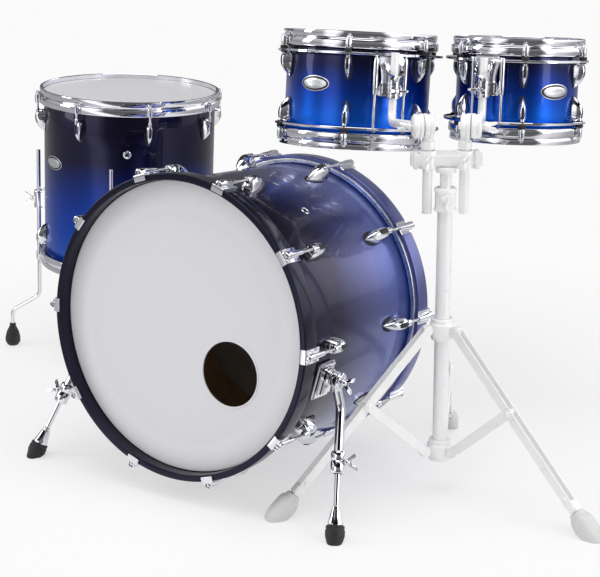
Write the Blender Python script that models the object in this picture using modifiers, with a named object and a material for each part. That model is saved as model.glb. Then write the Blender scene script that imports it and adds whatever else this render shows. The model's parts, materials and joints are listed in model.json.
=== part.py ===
"""A drum kit: bass drum on spurs, floor tom on three legs, and two rack toms on a double stand.

Metres, +Z up. The bass drum's axis runs along Y with its front head facing -Y. The kit stands on
z = 0, with the middle of its footprint at the origin. Each drum is built in a frame of its own,
whose Z is the drum's axis, and each moving piece in the frame of its joint.
"""

import math

import bmesh
import bpy
from mathutils import Matrix, Vector

# Clearances
GAP = 0.0003
RUNNING_GAP = 0.0005
HEAD_SLIP = 0.0010
WELD_DISTANCE = 0.00001
SEAM_DISTANCE = 0.000002

# Drum sizes: shell radius and depth
BASS_RADIUS = 0.2794
BASS_DEPTH = 0.4064
FLOOR_RADIUS = 0.2032
FLOOR_DEPTH = 0.4064
LEFT_RADIUS = 0.1524
LEFT_DEPTH = 0.2159
RIGHT_RADIUS = 0.1270
RIGHT_DEPTH = 0.1905
SHELL_WALL = 0.0075

# Sides of the turned pieces. A drum has a corner at each lug.
SIDES_PER_LUG = 4
TUBE_SIDES = 16
SMALL_SIDES = 10
ROD_SIDES = 5
BOLT_SIDES = 6
PORT_SIDES = 24
TUBE_BEVEL_STEPS = 2
SHARP_ANGLE = 30.0

# Heads
FILM = 0.0005
COLLAR_OUT = 0.0030
BASS_COLLAR_DROP = 0.0120
TOM_COLLAR_DROP = 0.0080
FLESH_HOOP_HEIGHT = 0.0075
FLESH_HOOP_OUT = 0.0105
PORT_RADIUS = 0.0635
PORT_ACROSS = 0.1150
PORT_UP = -0.0710

# Flanged metal hoops
RIM_INNER_OUT = 0.0045
RIM_WALL_OUT = 0.0075
RIM_SKIRT_OUT = 0.0135
RIM_SKIRT_WALL = 0.0022
RIM_RISE = 0.0115
RIM_FLANGE_DROP = 0.0050
RIM_SKIRT_DROP = 0.0225

# Wooden bass drum hoops
WOOD_HOOP_WIDTH = 0.0380
WOOD_HOOP_WALL = 0.0135
WOOD_HOOP_SLACK = 0.0006

# Tension rods
ROD_RADIUS = 0.0026
ROD_OUT = 0.0175
EAR_RADIUS = 0.0060
EAR_RISE = 0.0095
EAR_CLEARANCE = 0.0010

# Lugs
LUG_SIDES = 6
LUG_RINGS = 3
LUG_SUNK = 0.0030
LUG_DIP = 0.0006
LUG_END_LEAST = 0.2
TOM_LUG_LENGTH = 0.0550
TOM_LUG_WIDTH = 0.0210
TOM_LUG_HEIGHT = 0.0240
BASS_LUG_LENGTH = 0.0640
BASS_LUG_WIDTH = 0.0330
BASS_LUG_HEIGHT = 0.0310
BASS_LUG_COUNT = 10
BASS_LUG_INSET = 0.0950
FLOOR_LUG_COUNT = 8
FLOOR_LUG_INSET = 0.0640
FLOOR_LUG_TURN = 6.15
RACK_LUG_COUNT = 6
RACK_LUG_INSET = 0.0600
LEFT_LUG_TURN = -6.9
RIGHT_LUG_TURN = 0.7
LEFT_MOUNT_GAP = -1
RIGHT_MOUNT_GAP = -2

# Claws
CLAW_WIDTH = 0.0300
CLAW_HOOK_REACH = 0.0100
CLAW_HOOK_WALL = 0.0030
CLAW_BITE = 0.0004
CLAW_RISE = 0.0120
CLAW_TAIL = 0.0150
BASS_ROD_OUT = 0.0065
BASS_ROD_RADIUS = 0.0030

# Vents
VENT_RADIUS = 0.0050
VENT_RING_RADIUS = 0.0095
VENT_RING_RISE = 0.0015
BASS_VENT_TURN = 54.7
BASS_VENT_ALONG = 0.0430
FLOOR_VENT_TURN = -58.4
FLOOR_VENT_ALONG = 0.0920

# Layout, measured from the point of the floor under the bass drum's middle
BASS_LEAN = 5.4
FLOOR_TOM_X = -0.6300
FLOOR_TOM_Y = 0.4120
FLOOR_TOM_TOP = 0.6560
FLOOR_TOM_LEAN = 2.6
FLOOR_TOM_LEAN_TURN = 36.0
LEFT_TOM_X = 0.0376
LEFT_TOM_Y = 0.3754
LEFT_TOM_ABOVE_BASS = 0.1183
LEFT_TOM_LEAN = 8.3
LEFT_TOM_LEAN_TURN = 101.0
RIGHT_TOM_X = 0.3331
RIGHT_TOM_Y = 0.5344
RIGHT_TOM_ABOVE_BASS = 0.1218
RIGHT_TOM_LEAN = 6.2
RIGHT_TOM_LEAN_TURN = 108.0
STAND_X = 0.4190
STAND_Y = 0.0594
STAND_TURN = 33.3
STAND_LEG_TURN = 81.0

# Spurs
SPUR_FOOT_OUT = 0.0886
SPUR_FOOT_AHEAD = 0.0403
SPUR_SPREAD = 14.9
SPUR_RAKE = 27.6
SPUR_HINGE_TURN = -11.0
SPUR_HINGE_INSET = 0.0712
SPUR_ELBOW_HEIGHT = 0.2150
SPUR_BRACKET_LENGTH = 0.0560
SPUR_BRACKET_WIDTH = 0.0740
SPUR_BRACKET_RISE = 0.0160
SPUR_BRACKET_DROP = 0.0120
SPUR_BRACKET_EDGE = 0.0040
SPUR_BOSS_RISE = 0.0240
SPUR_KNUCKLE_RADIUS = 0.0170
SPUR_KNUCKLE_SPARE = 0.0010
SPUR_BOLT_REACH = 0.0080
SPUR_TUBE_RADIUS = 0.0090
SPUR_BEND_RADIUS = 0.0350
SPUR_CLAMP_RADIUS = 0.0145
SPUR_CLAMP_LENGTH = 0.0420
SPUR_CLAMP_FROM_FOOT = 0.1250
SPUR_ROD_RADIUS = 0.0055
SPUR_ROD_TOP = 0.1850
SPUR_BORE_TOP = 0.2150
SPUR_BORE_CLEARANCE = 0.0009
SPUR_BORE_BELOW = 0.0100
SPUR_CONE_TOP = 0.0650
SPUR_CONE_NECK = 0.0080
SPUR_CONE_RADIUS = 0.0150
SPUR_TIP_TOP = 0.0310
SPUR_TIP_RADIUS = 0.0185
SPUR_TIP_EDGE = 0.0050

# Wing bolts
WING_HUB_RADIUS = 0.0060
WING_HUB_LENGTH = 0.0100
WING_SPAN = 0.0340
WING_RISE = 0.0140
WING_THICKNESS = 0.0050
WING_SUNK = 0.0020
BOLT_RADIUS = 0.0032
BOLT_CLEARANCE = 0.0010

# Floor tom legs
LEG_ROD_RADIUS = 0.0048
LEG_ROD_OUT = 0.0210
LEG_BRACKET_HEIGHT = 0.0600
LEG_BRACKET_WIDTH = 0.0340
LEG_BRACKET_OUT = 0.0330
LEG_BRACKET_DROP = 0.0720
LEG_BRACKET_EDGE = 0.0050
LEG_LENGTH = 0.5050
LEG_FOOT_RISE = 0.0900
LEG_BEND_RISE = 0.0450
LEG_KICK = 0.0700
LEG_BEND_RADIUS = 0.0250
LEG_BORE_CLEARANCE = 0.0009
LEG_GAPS = (1, 4, 6)
FOOT_HEIGHT = 0.0580
FOOT_RADIUS = 0.0190
FOOT_NECK_RADIUS = 0.0080
FOOT_SOLE_RADIUS = 0.0120
FOOT_SOCKET = 0.0250

# Rack tom suspension mounts
PLATE_THICKNESS = 0.0030
PLATE_INNER_OUT = 0.0105
PLATE_OUTER_OUT = 0.0245
PLATE_DROP = 0.0075
PLATE_OVERHANG = 6.0
PLATE_STEPS = 12
PLATE_HOLE_CLEARANCE = 0.0007
GROMMET_RADIUS = 0.0065
MOUNT_BAR_RADIUS = 0.0030
MOUNT_BAR_OUT = 0.0180
MOUNT_BAR_SPREAD = 0.0320
MOUNT_BACK_HEIGHT = 0.0800
MOUNT_BACK_THICKNESS = 0.0076
MOUNT_BACK_EDGE = 0.0019
MOUNT_BLOCK_WIDTH = 0.0340
MOUNT_BLOCK_HEIGHT = 0.0880
MOUNT_BLOCK_ABOVE = 0.0320
MOUNT_BLOCK_OUT = 0.0500
MOUNT_BLOCK_EDGE = 0.0057

# Tom arms and tilters
ARM_RADIUS = 0.0085
ARM_OUT = 0.0370
ARM_BORE_CLEARANCE = 0.0009
ARM_BELOW_RIM = 0.0390
ARM_BEND_DROP = 0.0590
ARM_BEND_RADIUS = 0.0250
TILTER_ABOVE_BASS = 0.1278
TILTER_RADIUS = 0.0230
TILTER_SPARE = 0.0010

# Double tom stand
POST_SPREAD = 0.0340
POST_RADIUS = 0.0090
POST_BELOW_CROSS = 0.1020
POST_TOP_DROP = 0.0090
CROSS_LENGTH = 0.1320
CROSS_WIDTH = 0.0340
CROSS_HEIGHT = 0.0340
CROSS_EDGE = 0.0068
POST_WING_TURN = 72.0
CROSS_BELOW_TILTER = 0.0620
HEIGHT_TUBE_RADIUS = 0.0105
HEIGHT_TUBE_LENGTH = 0.2820
MAIN_TUBE_RADIUS = 0.0140
MAIN_TUBE_FOOT = 0.0650
MAIN_TUBE_BELOW_CROSS = 0.0570
HEIGHT_CLAMP_RADIUS = 0.0220
HEIGHT_CLAMP_HEIGHT = 0.0400
HEIGHT_CLAMP_OVER = 0.0040
COLLAR_OUTER = 0.0240
COLLAR_HEIGHT = 0.0420
COLLAR_EAR_SUNK = 0.0040
PIVOT_OUT = 0.0320
PIVOT_PIN_RADIUS = 0.0030
PIVOT_PIN_OVERHANG = 0.0010
LEG_PIVOT_HEIGHT = 0.3350
STRUT_PIVOT_HEIGHT = 0.0890
ANKLE_OUT = 0.3020
ANKLE_HEIGHT = 0.0420
STRIP_THICKNESS = 0.0026
STRIP_WIDTH = 0.0180
STRIP_END_STEPS = 4
ANKLE_SPARE = 0.0010
LEG_STRIP_INNER = 0.0065
STRUT_JOINT_SHARE = 0.4560
STRUT_BRIDGE_SHARE = 0.3500
SPACER_RADIUS = 0.0060
RUBBER_LENGTH = 0.0760
RUBBER_WIDTH = 0.0420
RUBBER_DEPTH = 0.0420
RUBBER_EDGE = 0.0080

PARTS = "drum_kit"
CUTTERS = "cutters"
UP = Vector((0, 0, 1))


# Scene, materials and objects


def clear_scene():
    for obj in list(bpy.data.objects):
        bpy.data.objects.remove(obj, do_unlink=True)


def make_collection(name):
    collection = bpy.data.collections.new(name)
    bpy.context.scene.collection.children.link(collection)
    return collection


def make_material(name, colour, roughness, metallic):
    material = bpy.data.materials.new(name)
    material.use_nodes = True
    shader = material.node_tree.nodes["Principled BSDF"]
    shader.inputs["Base Color"].default_value = (*colour, 1.0)
    shader.inputs["Roughness"].default_value = roughness
    shader.inputs["Metallic"].default_value = metallic
    return material


def frame_empty(name, matrix, parent=None):
    """An empty that holds a drum's frame, or that sits on a joint with its Z along the joint's axis."""
    empty = bpy.data.objects.new(name, None)
    empty.empty_display_size = 0.03
    bpy.data.collections[PARTS].objects.link(empty)
    empty.parent = parent
    empty.matrix_basis = matrix
    bpy.context.view_layer.update()
    return empty


def add_piece(name, mesh, material, parent):
    mesh.name = name
    mesh.materials.clear()
    mesh.materials.append(material)
    obj = bpy.data.objects.new(name, mesh)
    bpy.data.collections[PARTS].objects.link(obj)
    obj.parent = parent
    mesh.shade_smooth()
    mesh.set_sharp_from_angle(angle=math.radians(SHARP_ANGLE))
    return obj


def add_cutter(name, mesh, parent, material=None):
    """A helper object that a Boolean reads. It isn't part of the kit."""
    mesh.name = name
    mesh.materials.clear()
    if material:
        mesh.materials.append(material)
    mesh.shade_smooth()
    mesh.set_sharp_from_angle(angle=math.radians(SHARP_ANGLE))
    obj = bpy.data.objects.new(name, mesh)
    bpy.data.collections[CUTTERS].objects.link(obj)
    obj.parent = parent
    obj.hide_render = True
    obj.display_type = "WIRE"
    return obj


def boolean(obj, mesh, operation, material=None):
    """Adds to obj a Boolean with this mesh, which stands in obj's own frame."""
    name = f"{obj.name}_{operation.lower()}_{len(obj.modifiers) + 1}"
    modifier = obj.modifiers.new(name, "BOOLEAN")
    modifier.operation = operation
    modifier.solver = "EXACT"
    modifier.material_mode = "TRANSFER" if material else "INDEX"
    modifier.object = add_cutter(name, mesh, obj.parent, material)
    return obj


def unite(obj, mesh, material=None):
    return boolean(obj, mesh, "UNION", material)


def cut(obj, mesh):
    return boolean(obj, mesh, "DIFFERENCE")


# Shapes


def evaluated_mesh(obj):
    """The object's mesh with its modifiers worked in. The object is removed."""
    bpy.context.scene.collection.objects.link(obj)
    graph = bpy.context.evaluated_depsgraph_get()
    mesh = bpy.data.meshes.new_from_object(obj.evaluated_get(graph))
    bpy.data.objects.remove(obj, do_unlink=True)
    return mesh


def turned(profile, sides):
    """Turns (radius, height) points about Z. They run down the outer side, and back up the inner one."""
    mesh = bpy.data.meshes.new("profile")
    points = [(radius, 0, height) for radius, height in profile]
    edges = [(i, i + 1) for i in range(len(points) - 1)]
    if profile[0][0] > 0:
        edges.append((len(points) - 1, 0))
    mesh.from_pydata(points, edges, [])
    obj = bpy.data.objects.new("turned", mesh)
    screw = obj.modifiers.new("turn", "SCREW")
    screw.steps = sides
    screw.render_steps = sides
    screw.use_merge_vertices = True
    screw.merge_threshold = 0.0001
    return evaluated_mesh(obj)


def cylinder(radius, low, high, sides=SMALL_SIDES):
    return turned([(0, high), (radius, high), (radius, low), (0, low)], sides)


def ring(inner, outer, low, high, sides):
    return turned([(outer, high), (outer, low), (inner, low), (inner, high)], sides)


def box(size, edge=0.0):
    """A box about its own middle, with its edges bevelled."""
    model = bmesh.new()
    bmesh.ops.create_cube(model, size=1.0, matrix=Matrix.Diagonal((*size, 1.0)))
    if edge:
        bmesh.ops.bevel(model, geom=model.edges[:], offset=edge, segments=1, affect="EDGES")
    mesh = bpy.data.meshes.new("box")
    model.to_mesh(mesh)
    model.free()
    return mesh


def plate(outline, thickness, holes=()):
    """A flat plate in XY about z = 0, from its outline's points and those of any holes."""
    curve = bpy.data.curves.new("outline", "CURVE")
    curve.dimensions = "2D"
    curve.fill_mode = "BOTH"
    curve.extrude = thickness / 2
    for points in (outline, *holes):
        spline = curve.splines.new("POLY")
        spline.points.add(len(points) - 1)
        for point, (x, y) in zip(spline.points, points):
            point.co = (x, y, 0, 1)
        spline.use_cyclic_u = True
    return welded(evaluated_mesh(bpy.data.objects.new("plate", curve)))


def rod(points, radius):
    """A round rod along these points, with filled ends."""
    curve = bpy.data.curves.new("path", "CURVE")
    curve.dimensions = "3D"
    curve.bevel_depth = radius
    curve.bevel_resolution = TUBE_BEVEL_STEPS
    curve.use_fill_caps = True
    spline = curve.splines.new("POLY")
    spline.points.add(len(points) - 1)
    for target, point in zip(spline.points, points):
        target.co = (*point, 1)
    return welded(evaluated_mesh(bpy.data.objects.new("rod", curve)))


def welded(mesh):
    model = bmesh.new()
    model.from_mesh(mesh)
    bmesh.ops.remove_doubles(model, verts=model.verts[:], dist=WELD_DISTANCE)
    bmesh.ops.recalc_face_normals(model, faces=model.faces[:])
    model.to_mesh(mesh)
    model.free()
    return mesh


def rounded_path(corners, bend_radius, steps=4):
    """Points along straight runs between these corners, with an arc at each inner corner."""
    corners = [Vector(corner) for corner in corners]
    points = [corners[0]]
    for before, corner, after in zip(corners, corners[1:], corners[2:]):
        incoming = (corner - before).normalized()
        outgoing = (after - corner).normalized()
        turn = incoming.angle(outgoing)
        start = corner - incoming * bend_radius * math.tan(turn / 2)
        inward = (outgoing - incoming * incoming.dot(outgoing)).normalized()
        for step in range(steps + 1):
            angle = turn * step / steps
            along = incoming * math.sin(angle) + inward * (1 - math.cos(angle))
            points.append(start + along * bend_radius)
    points.append(corners[-1])
    return points


def arc_points(radius, start, end, steps):
    """Points on an arc about the origin, between two angles in degrees."""
    angles = [math.radians(start + (end - start) * step / steps) for step in range(steps + 1)]
    return [(radius * math.cos(angle), radius * math.sin(angle)) for angle in angles]


def circle_points(centre, radius, sides=SMALL_SIDES):
    angles = [2 * math.pi * step / sides for step in range(sides)]
    return [(centre[0] + radius * math.cos(a), centre[1] + radius * math.sin(a)) for a in angles]


def moved(mesh, matrix):
    mesh.transform(matrix)
    return mesh


def copies(mesh, matrices):
    """One mesh with a copy of this one at each matrix."""
    model = bmesh.new()
    for matrix in matrices:
        single = mesh.copy()
        single.transform(matrix)
        model.from_mesh(single)
        bpy.data.meshes.remove(single)
    joined = bpy.data.meshes.new("copies")
    model.to_mesh(joined)
    model.free()
    return joined


def bolt_hole(radius, low, high):
    """A hole along Z for a bolt or pin of this radius, with its corners off those of what it goes through."""
    return moved(cylinder(radius + BOLT_CLEARANCE, low, high, BOLT_SIDES), turn_z(180 / BOLT_SIDES))


def sliced(mesh, point, outwards):
    """Takes off what is beyond the plane at point, and closes the mesh there."""
    model = bmesh.new()
    model.from_mesh(mesh)
    everything = model.verts[:] + model.edges[:] + model.faces[:]
    bmesh.ops.bisect_plane(model, geom=everything, plane_co=point, plane_no=outwards, clear_outer=True)
    bmesh.ops.holes_fill(model, edges=model.edges[:])
    bmesh.ops.recalc_face_normals(model, faces=model.faces[:])
    model.to_mesh(mesh)
    model.free()
    return mesh


def half_ellipsoid(length, width, height, sunk):
    """A lug's body: X is up from the shell, Z along the drum. It goes on for sunk below x = 0."""
    model = bmesh.new()
    scale = Matrix.Diagonal((height, width / 2, length / 2, 1.0))
    bmesh.ops.create_uvsphere(model, u_segments=LUG_SIDES, v_segments=LUG_RINGS, radius=1.0, matrix=scale)
    mesh = bpy.data.meshes.new("lug")
    model.to_mesh(mesh)
    model.free()
    return sliced(mesh, (-sunk, 0, 0), (-1, 0, 0))


def turn_z(degrees):
    return Matrix.Rotation(math.radians(degrees), 4, "Z")


def flipped():
    """Half a turn about X, which swaps a drum's two ends."""
    return Matrix.Rotation(math.pi, 4, "X")


def axes_matrix(origin, z_axis, x_hint):
    """A frame at origin with its Z along z_axis and its X as near as can be to x_hint."""
    z_axis = Vector(z_axis).normalized()
    y_axis = z_axis.cross(Vector(x_hint)).normalized()
    x_axis = y_axis.cross(z_axis)
    matrix = Matrix((x_axis, y_axis, z_axis)).transposed().to_4x4()
    matrix.translation = origin
    return matrix


def leaned(location, lean, lean_turn):
    """A drum's frame at location, its axis leaned by lean degrees towards the compass angle lean_turn."""
    tilt = Matrix.Rotation(math.radians(lean), 4, turn_z(lean_turn).to_3x3() @ Vector((0, 1, 0)))
    return Matrix.Translation(location) @ tilt


# Drums


def shell_mesh(radius, depth, lug_count):
    """A shell whose bearing edges slope in from its outer face."""
    half = depth / 2
    inner = radius - SHELL_WALL
    profile = [(radius, half), (radius, -half), (inner, SHELL_WALL - half), (inner, half - SHELL_WALL)]
    return turned(profile, SIDES_PER_LUG * lug_count)


def head_mesh(radius, depth, collar_drop, lug_count):
    """A head at the +Z end: the film, its collar over the bearing edge and the flesh hoop round it."""
    half = depth / 2
    film_low = half + GAP
    film_high = film_low + FILM
    collar = radius + COLLAR_OUT
    hoop_top = half - collar_drop
    hoop_low = hoop_top - FLESH_HOOP_HEIGHT
    return turned(
        [
            (0, film_high),
            (collar, film_high),
            (collar, hoop_top),
            (radius + FLESH_HOOP_OUT, hoop_top),
            (radius + FLESH_HOOP_OUT, hoop_low),
            (radius + HEAD_SLIP, hoop_low),
            (radius + HEAD_SLIP, film_low),
            (0, film_low),
        ],
        SIDES_PER_LUG * lug_count,
    )


def metal_hoop_mesh(radius, depth, lug_count):
    """A flanged hoop at the +Z end. Its flange bears on the flesh hoop, inside the skirt."""
    half = depth / 2
    top = half + RIM_RISE
    bearing = half - TOM_COLLAR_DROP + GAP
    return turned(
        [
            (radius + RIM_INNER_OUT, top),
            (radius + RIM_WALL_OUT, top),
            (radius + RIM_WALL_OUT, half - RIM_FLANGE_DROP),
            (radius + RIM_SKIRT_OUT, half - RIM_FLANGE_DROP),
            (radius + RIM_SKIRT_OUT, half - RIM_SKIRT_DROP),
            (radius + RIM_SKIRT_OUT - RIM_SKIRT_WALL, half - RIM_SKIRT_DROP),
            (radius + RIM_SKIRT_OUT - RIM_SKIRT_WALL, bearing),
            (radius + RIM_INNER_OUT, bearing),
        ],
        SIDES_PER_LUG * lug_count,
    )


def lug_end_height(lug_length, lug_height, rod_out):
    """How far from a lug's middle its end is met by a rod at this distance from the shell."""
    share = math.sqrt(max(1 - (rod_out / lug_height) ** 2, LUG_END_LEAST**2))
    return lug_length / 2 * share


def tom_rods_mesh(radius, depth, lug_count, lug_inset):
    """The tension rods of one hoop, with their heads and the hoop's ears round them."""
    half = depth / 2
    flange = half - RIM_FLANGE_DROP
    ear_low = half - RIM_SKIRT_DROP + EAR_CLEARANCE
    reach = lug_end_height(TOM_LUG_LENGTH, TOM_LUG_HEIGHT, ROD_OUT - ROD_RADIUS)
    lug_end = half - lug_inset + reach + GAP
    single = turned(
        [
            (0, flange + EAR_RISE),
            (EAR_RADIUS, flange + EAR_RISE),
            (EAR_RADIUS, ear_low),
            (ROD_RADIUS, ear_low),
            (ROD_RADIUS, lug_end),
            (0, lug_end),
        ],
        ROD_SIDES,
    )
    return copies(single, around(lug_count, radius + ROD_OUT))


def around(count, radius, height=0.0):
    """Matrices that stand a piece at each of count places round a drum, with its X outwards."""
    place = Matrix.Translation((radius, 0, height))
    return [turn_z(360 * k / count) @ place for k in range(count)]


def lugs_mesh(radius, depth, count, inset, length, width, height):
    lug = half_ellipsoid(length, width, height, LUG_SUNK)
    along = depth / 2 - inset
    middle = radius - LUG_DIP
    return copies(lug, around(count, middle, along) + around(count, middle, -along))


def add_vent(shell, radius, turn, along, chrome):
    """A vent hole through the shell, in a metal grommet that is pressed into it."""
    place = turn_z(turn) @ Matrix.Translation((radius, 0, along)) @ Matrix.Rotation(math.pi / 2, 4, "Y")
    grommet = cylinder(VENT_RING_RADIUS, -SHELL_WALL / 2, VENT_RING_RISE)
    unite(shell, moved(grommet, place), chrome)
    cut(shell, moved(cylinder(VENT_RADIUS, -2 * SHELL_WALL, 2 * VENT_RING_RISE, BOLT_SIDES), place))


def add_tom(name, radius, depth, count, inset, frame, materials):
    """A tom's shell, its two heads and its two hoops, each hoop with its tension rods.

    The frame's X points to one of its count lugs.
    """
    shell = add_piece(f"{name}_shell", shell_mesh(radius, depth, count), materials["lacquer"], frame)
    lugs = lugs_mesh(radius, depth, count, inset, TOM_LUG_LENGTH, TOM_LUG_WIDTH, TOM_LUG_HEIGHT)
    unite(shell, lugs, materials["chrome"])
    for head, hoop, end in (
        ("batter_head", "top_hoop", Matrix.Identity(4)),
        ("resonant_head", "bottom_hoop", flipped()),
    ):
        film = moved(head_mesh(radius, depth, TOM_COLLAR_DROP, count), end)
        add_piece(f"{name}_{head}", film, materials["film"], frame)
        rim = moved(metal_hoop_mesh(radius, depth, count), end)
        hoop_piece = add_piece(f"{name}_{hoop}", rim, materials["chrome"], frame)
        unite(hoop_piece, moved(tom_rods_mesh(radius, depth, count, inset), end))
    return shell


# Bass drum


def wood_hoop_mesh():
    """A wooden hoop at the +Z end, whose inner edge bears on the flesh hoop."""
    half = BASS_DEPTH / 2
    inner = BASS_RADIUS + COLLAR_OUT + WOOD_HOOP_SLACK
    outer = inner + WOOD_HOOP_WALL
    low = half - BASS_COLLAR_DROP + GAP
    high = low + WOOD_HOOP_WIDTH
    return turned(
        [
            (inner, high),
            (outer, high),
            (outer, low),
            (inner, low),
        ],
        SIDES_PER_LUG * BASS_LUG_COUNT,
    )


def wood_hoop_outer():
    return BASS_RADIUS + COLLAR_OUT + WOOD_HOOP_SLACK + WOOD_HOOP_WALL


def claw_mesh():
    """A claw in its own frame: X out from the hoop's outer face, Z along the drum, Y across."""
    low = BASS_DEPTH / 2 - BASS_COLLAR_DROP
    front = low + GAP + WOOD_HOOP_WIDTH
    outline = [
        (-CLAW_HOOK_REACH, front - CLAW_BITE),
        (-CLAW_HOOK_REACH, front + CLAW_HOOK_WALL),
        (CLAW_HOOK_WALL, front + CLAW_HOOK_WALL),
        (CLAW_RISE, front - WOOD_HOOP_WIDTH / 2),
        (CLAW_RISE, low - CLAW_TAIL),
        (-CLAW_BITE, low - CLAW_TAIL / 2),
        (-CLAW_BITE, front - CLAW_BITE),
    ]
    stand_up = Matrix.Rotation(math.pi / 2, 4, "X")
    return moved(plate(outline, CLAW_WIDTH), stand_up)


def bass_rod_mesh():
    """A bass drum tension rod, from inside its claw to the lug."""
    low = BASS_DEPTH / 2 - BASS_COLLAR_DROP - CLAW_TAIL
    rod_low = wood_hoop_outer() + BASS_ROD_OUT - BASS_RADIUS - BASS_ROD_RADIUS
    reach = lug_end_height(BASS_LUG_LENGTH, BASS_LUG_HEIGHT, rod_low)
    lug_end = BASS_DEPTH / 2 - BASS_LUG_INSET + reach + GAP
    return cylinder(BASS_ROD_RADIUS, lug_end, low + CLAW_TAIL / 2, ROD_SIDES)


def add_bass_drum(frame, materials):
    shell_shape = shell_mesh(BASS_RADIUS, BASS_DEPTH, BASS_LUG_COUNT)
    shell = add_piece("bass_drum_shell", shell_shape, materials["lacquer"], frame)
    lugs = lugs_mesh(
        BASS_RADIUS,
        BASS_DEPTH,
        BASS_LUG_COUNT,
        BASS_LUG_INSET,
        BASS_LUG_LENGTH,
        BASS_LUG_WIDTH,
        BASS_LUG_HEIGHT,
    )
    unite(shell, lugs, materials["chrome"])
    add_vent(shell, BASS_RADIUS, BASS_VENT_TURN, BASS_VENT_ALONG, materials["chrome"])
    claws = copies(claw_mesh(), around(BASS_LUG_COUNT, wood_hoop_outer()))
    rods = copies(bass_rod_mesh(), around(BASS_LUG_COUNT, wood_hoop_outer() + BASS_ROD_OUT))
    for hoop, head, end in (
        ("bass_drum_front_hoop", "bass_drum_front_head", Matrix.Identity(4)),
        ("bass_drum_rear_hoop", "bass_drum_batter_head", flipped()),
    ):
        hoop_piece = add_piece(hoop, moved(wood_hoop_mesh(), end), materials["lacquer"], frame)
        unite(hoop_piece, moved(claws.copy(), end), materials["chrome"])
        unite(hoop_piece, moved(rods.copy(), end), materials["chrome"])
        film = moved(head_mesh(BASS_RADIUS, BASS_DEPTH, BASS_COLLAR_DROP, BASS_LUG_COUNT), end)
        head_piece = add_piece(head, film, materials["film"], frame)
        if hoop == "bass_drum_front_hoop":
            port = cylinder(PORT_RADIUS, BASS_DEPTH / 2 - SHELL_WALL, BASS_DEPTH / 2 + SHELL_WALL, PORT_SIDES)
            cut(head_piece, moved(port, Matrix.Translation((PORT_ACROSS, PORT_UP, 0))))


# Wing bolts


def wing_mesh():
    """A wing bolt's head in its own frame: Z outwards from the face that it presses on."""
    hub = WING_HUB_LENGTH
    top = hub + WING_RISE
    half = WING_SPAN / 2
    blade = [
        (-half, top),
        (-WING_HUB_RADIUS, hub / 2),
        (WING_HUB_RADIUS, hub / 2),
        (half, top),
        (half / 2, top),
        (0, hub + WING_RISE / 5),
        (-half / 2, top),
    ]
    return moved(plate(blade, WING_THICKNESS), Matrix.Rotation(math.pi / 2, 4, "X"))


def add_wing(name, frame, material):
    """The head of a wing bolt that presses on the plane z = 0 of its frame."""
    hub = cylinder(WING_HUB_RADIUS, GAP, WING_HUB_LENGTH, BOLT_SIDES)
    return unite(add_piece(name, hub, material, frame), wing_mesh())


def unite_wing(obj, matrix):
    """A tightened wing bolt on the plane z = 0 of this frame, its hub sunk into what it clamps."""
    unite(obj, moved(cylinder(WING_HUB_RADIUS, -WING_SUNK, WING_HUB_LENGTH, BOLT_SIDES), matrix))
    unite(obj, moved(wing_mesh(), matrix))


# Spurs


def spur_line(side):
    """The foot of a spur on the floor, and the direction up along its rod. side is 1 or -1."""
    foot = Vector((side * (BASS_RADIUS + SPUR_FOOT_OUT), -BASS_DEPTH / 2 - SPUR_FOOT_AHEAD, 0))
    rise = Vector(
        (-side * math.tan(math.radians(SPUR_SPREAD)), math.tan(math.radians(SPUR_RAKE)), 1.0)
    )
    return foot, rise.normalized()


def add_spur(name, side, kit, bass_matrix, bass_frame, materials):
    chrome = materials["chrome"]
    turn = SPUR_HINGE_TURN if side > 0 else 180 - SPUR_HINGE_TURN
    outwards = turn_z(turn) @ Matrix.Rotation(math.pi / 2, 4, "Y")
    radial = turn_z(turn).to_3x3() @ Vector((1, 0, 0))
    hinge_place = Matrix.Translation(radial * BASS_RADIUS + UP * spur_hinge_along()) @ outwards
    add_spur_bracket(name, turn, radial, bass_frame, chrome)

    hinge_place = bass_matrix @ hinge_place
    inner_face = SPUR_BOSS_RISE + GAP
    outer_face = inner_face + spur_knuckle_width()
    add_spur_arm(name, side, hinge_place, (inner_face, outer_face), kit, chrome)
    wing_place = hinge_place @ Matrix.Translation((0, 0, outer_face))
    wing_frame = frame_empty(f"{name}_swivel_wing_axis", wing_place, kit)
    swivel_wing = add_wing(f"{name}_swivel_wing", wing_frame, chrome)
    bolt_end = -spur_knuckle_width() - SPUR_BOLT_REACH
    unite(swivel_wing, cylinder(BOLT_RADIUS, bolt_end, WING_HUB_LENGTH / 2, BOLT_SIDES))

    foot, rise = spur_line(side)
    outward = Vector((side, 0, 0))
    sideways = (outward - rise * outward.dot(rise)).normalized()
    clamp_middle = foot + rise * (SPUR_CLAMP_FROM_FOOT + SPUR_CLAMP_LENGTH / 2)
    seat = clamp_middle + sideways * SPUR_CLAMP_RADIUS
    height_frame = frame_empty(f"{name}_height_wing_axis", axes_matrix(seat, sideways, rise), kit)
    add_wing(f"{name}_height_wing", height_frame, chrome)

    rod_frame = frame_empty(f"{name}_rod_axis", axes_matrix(foot, rise, -UP), kit)
    add_spur_rod(name, rod_frame, materials)


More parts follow.
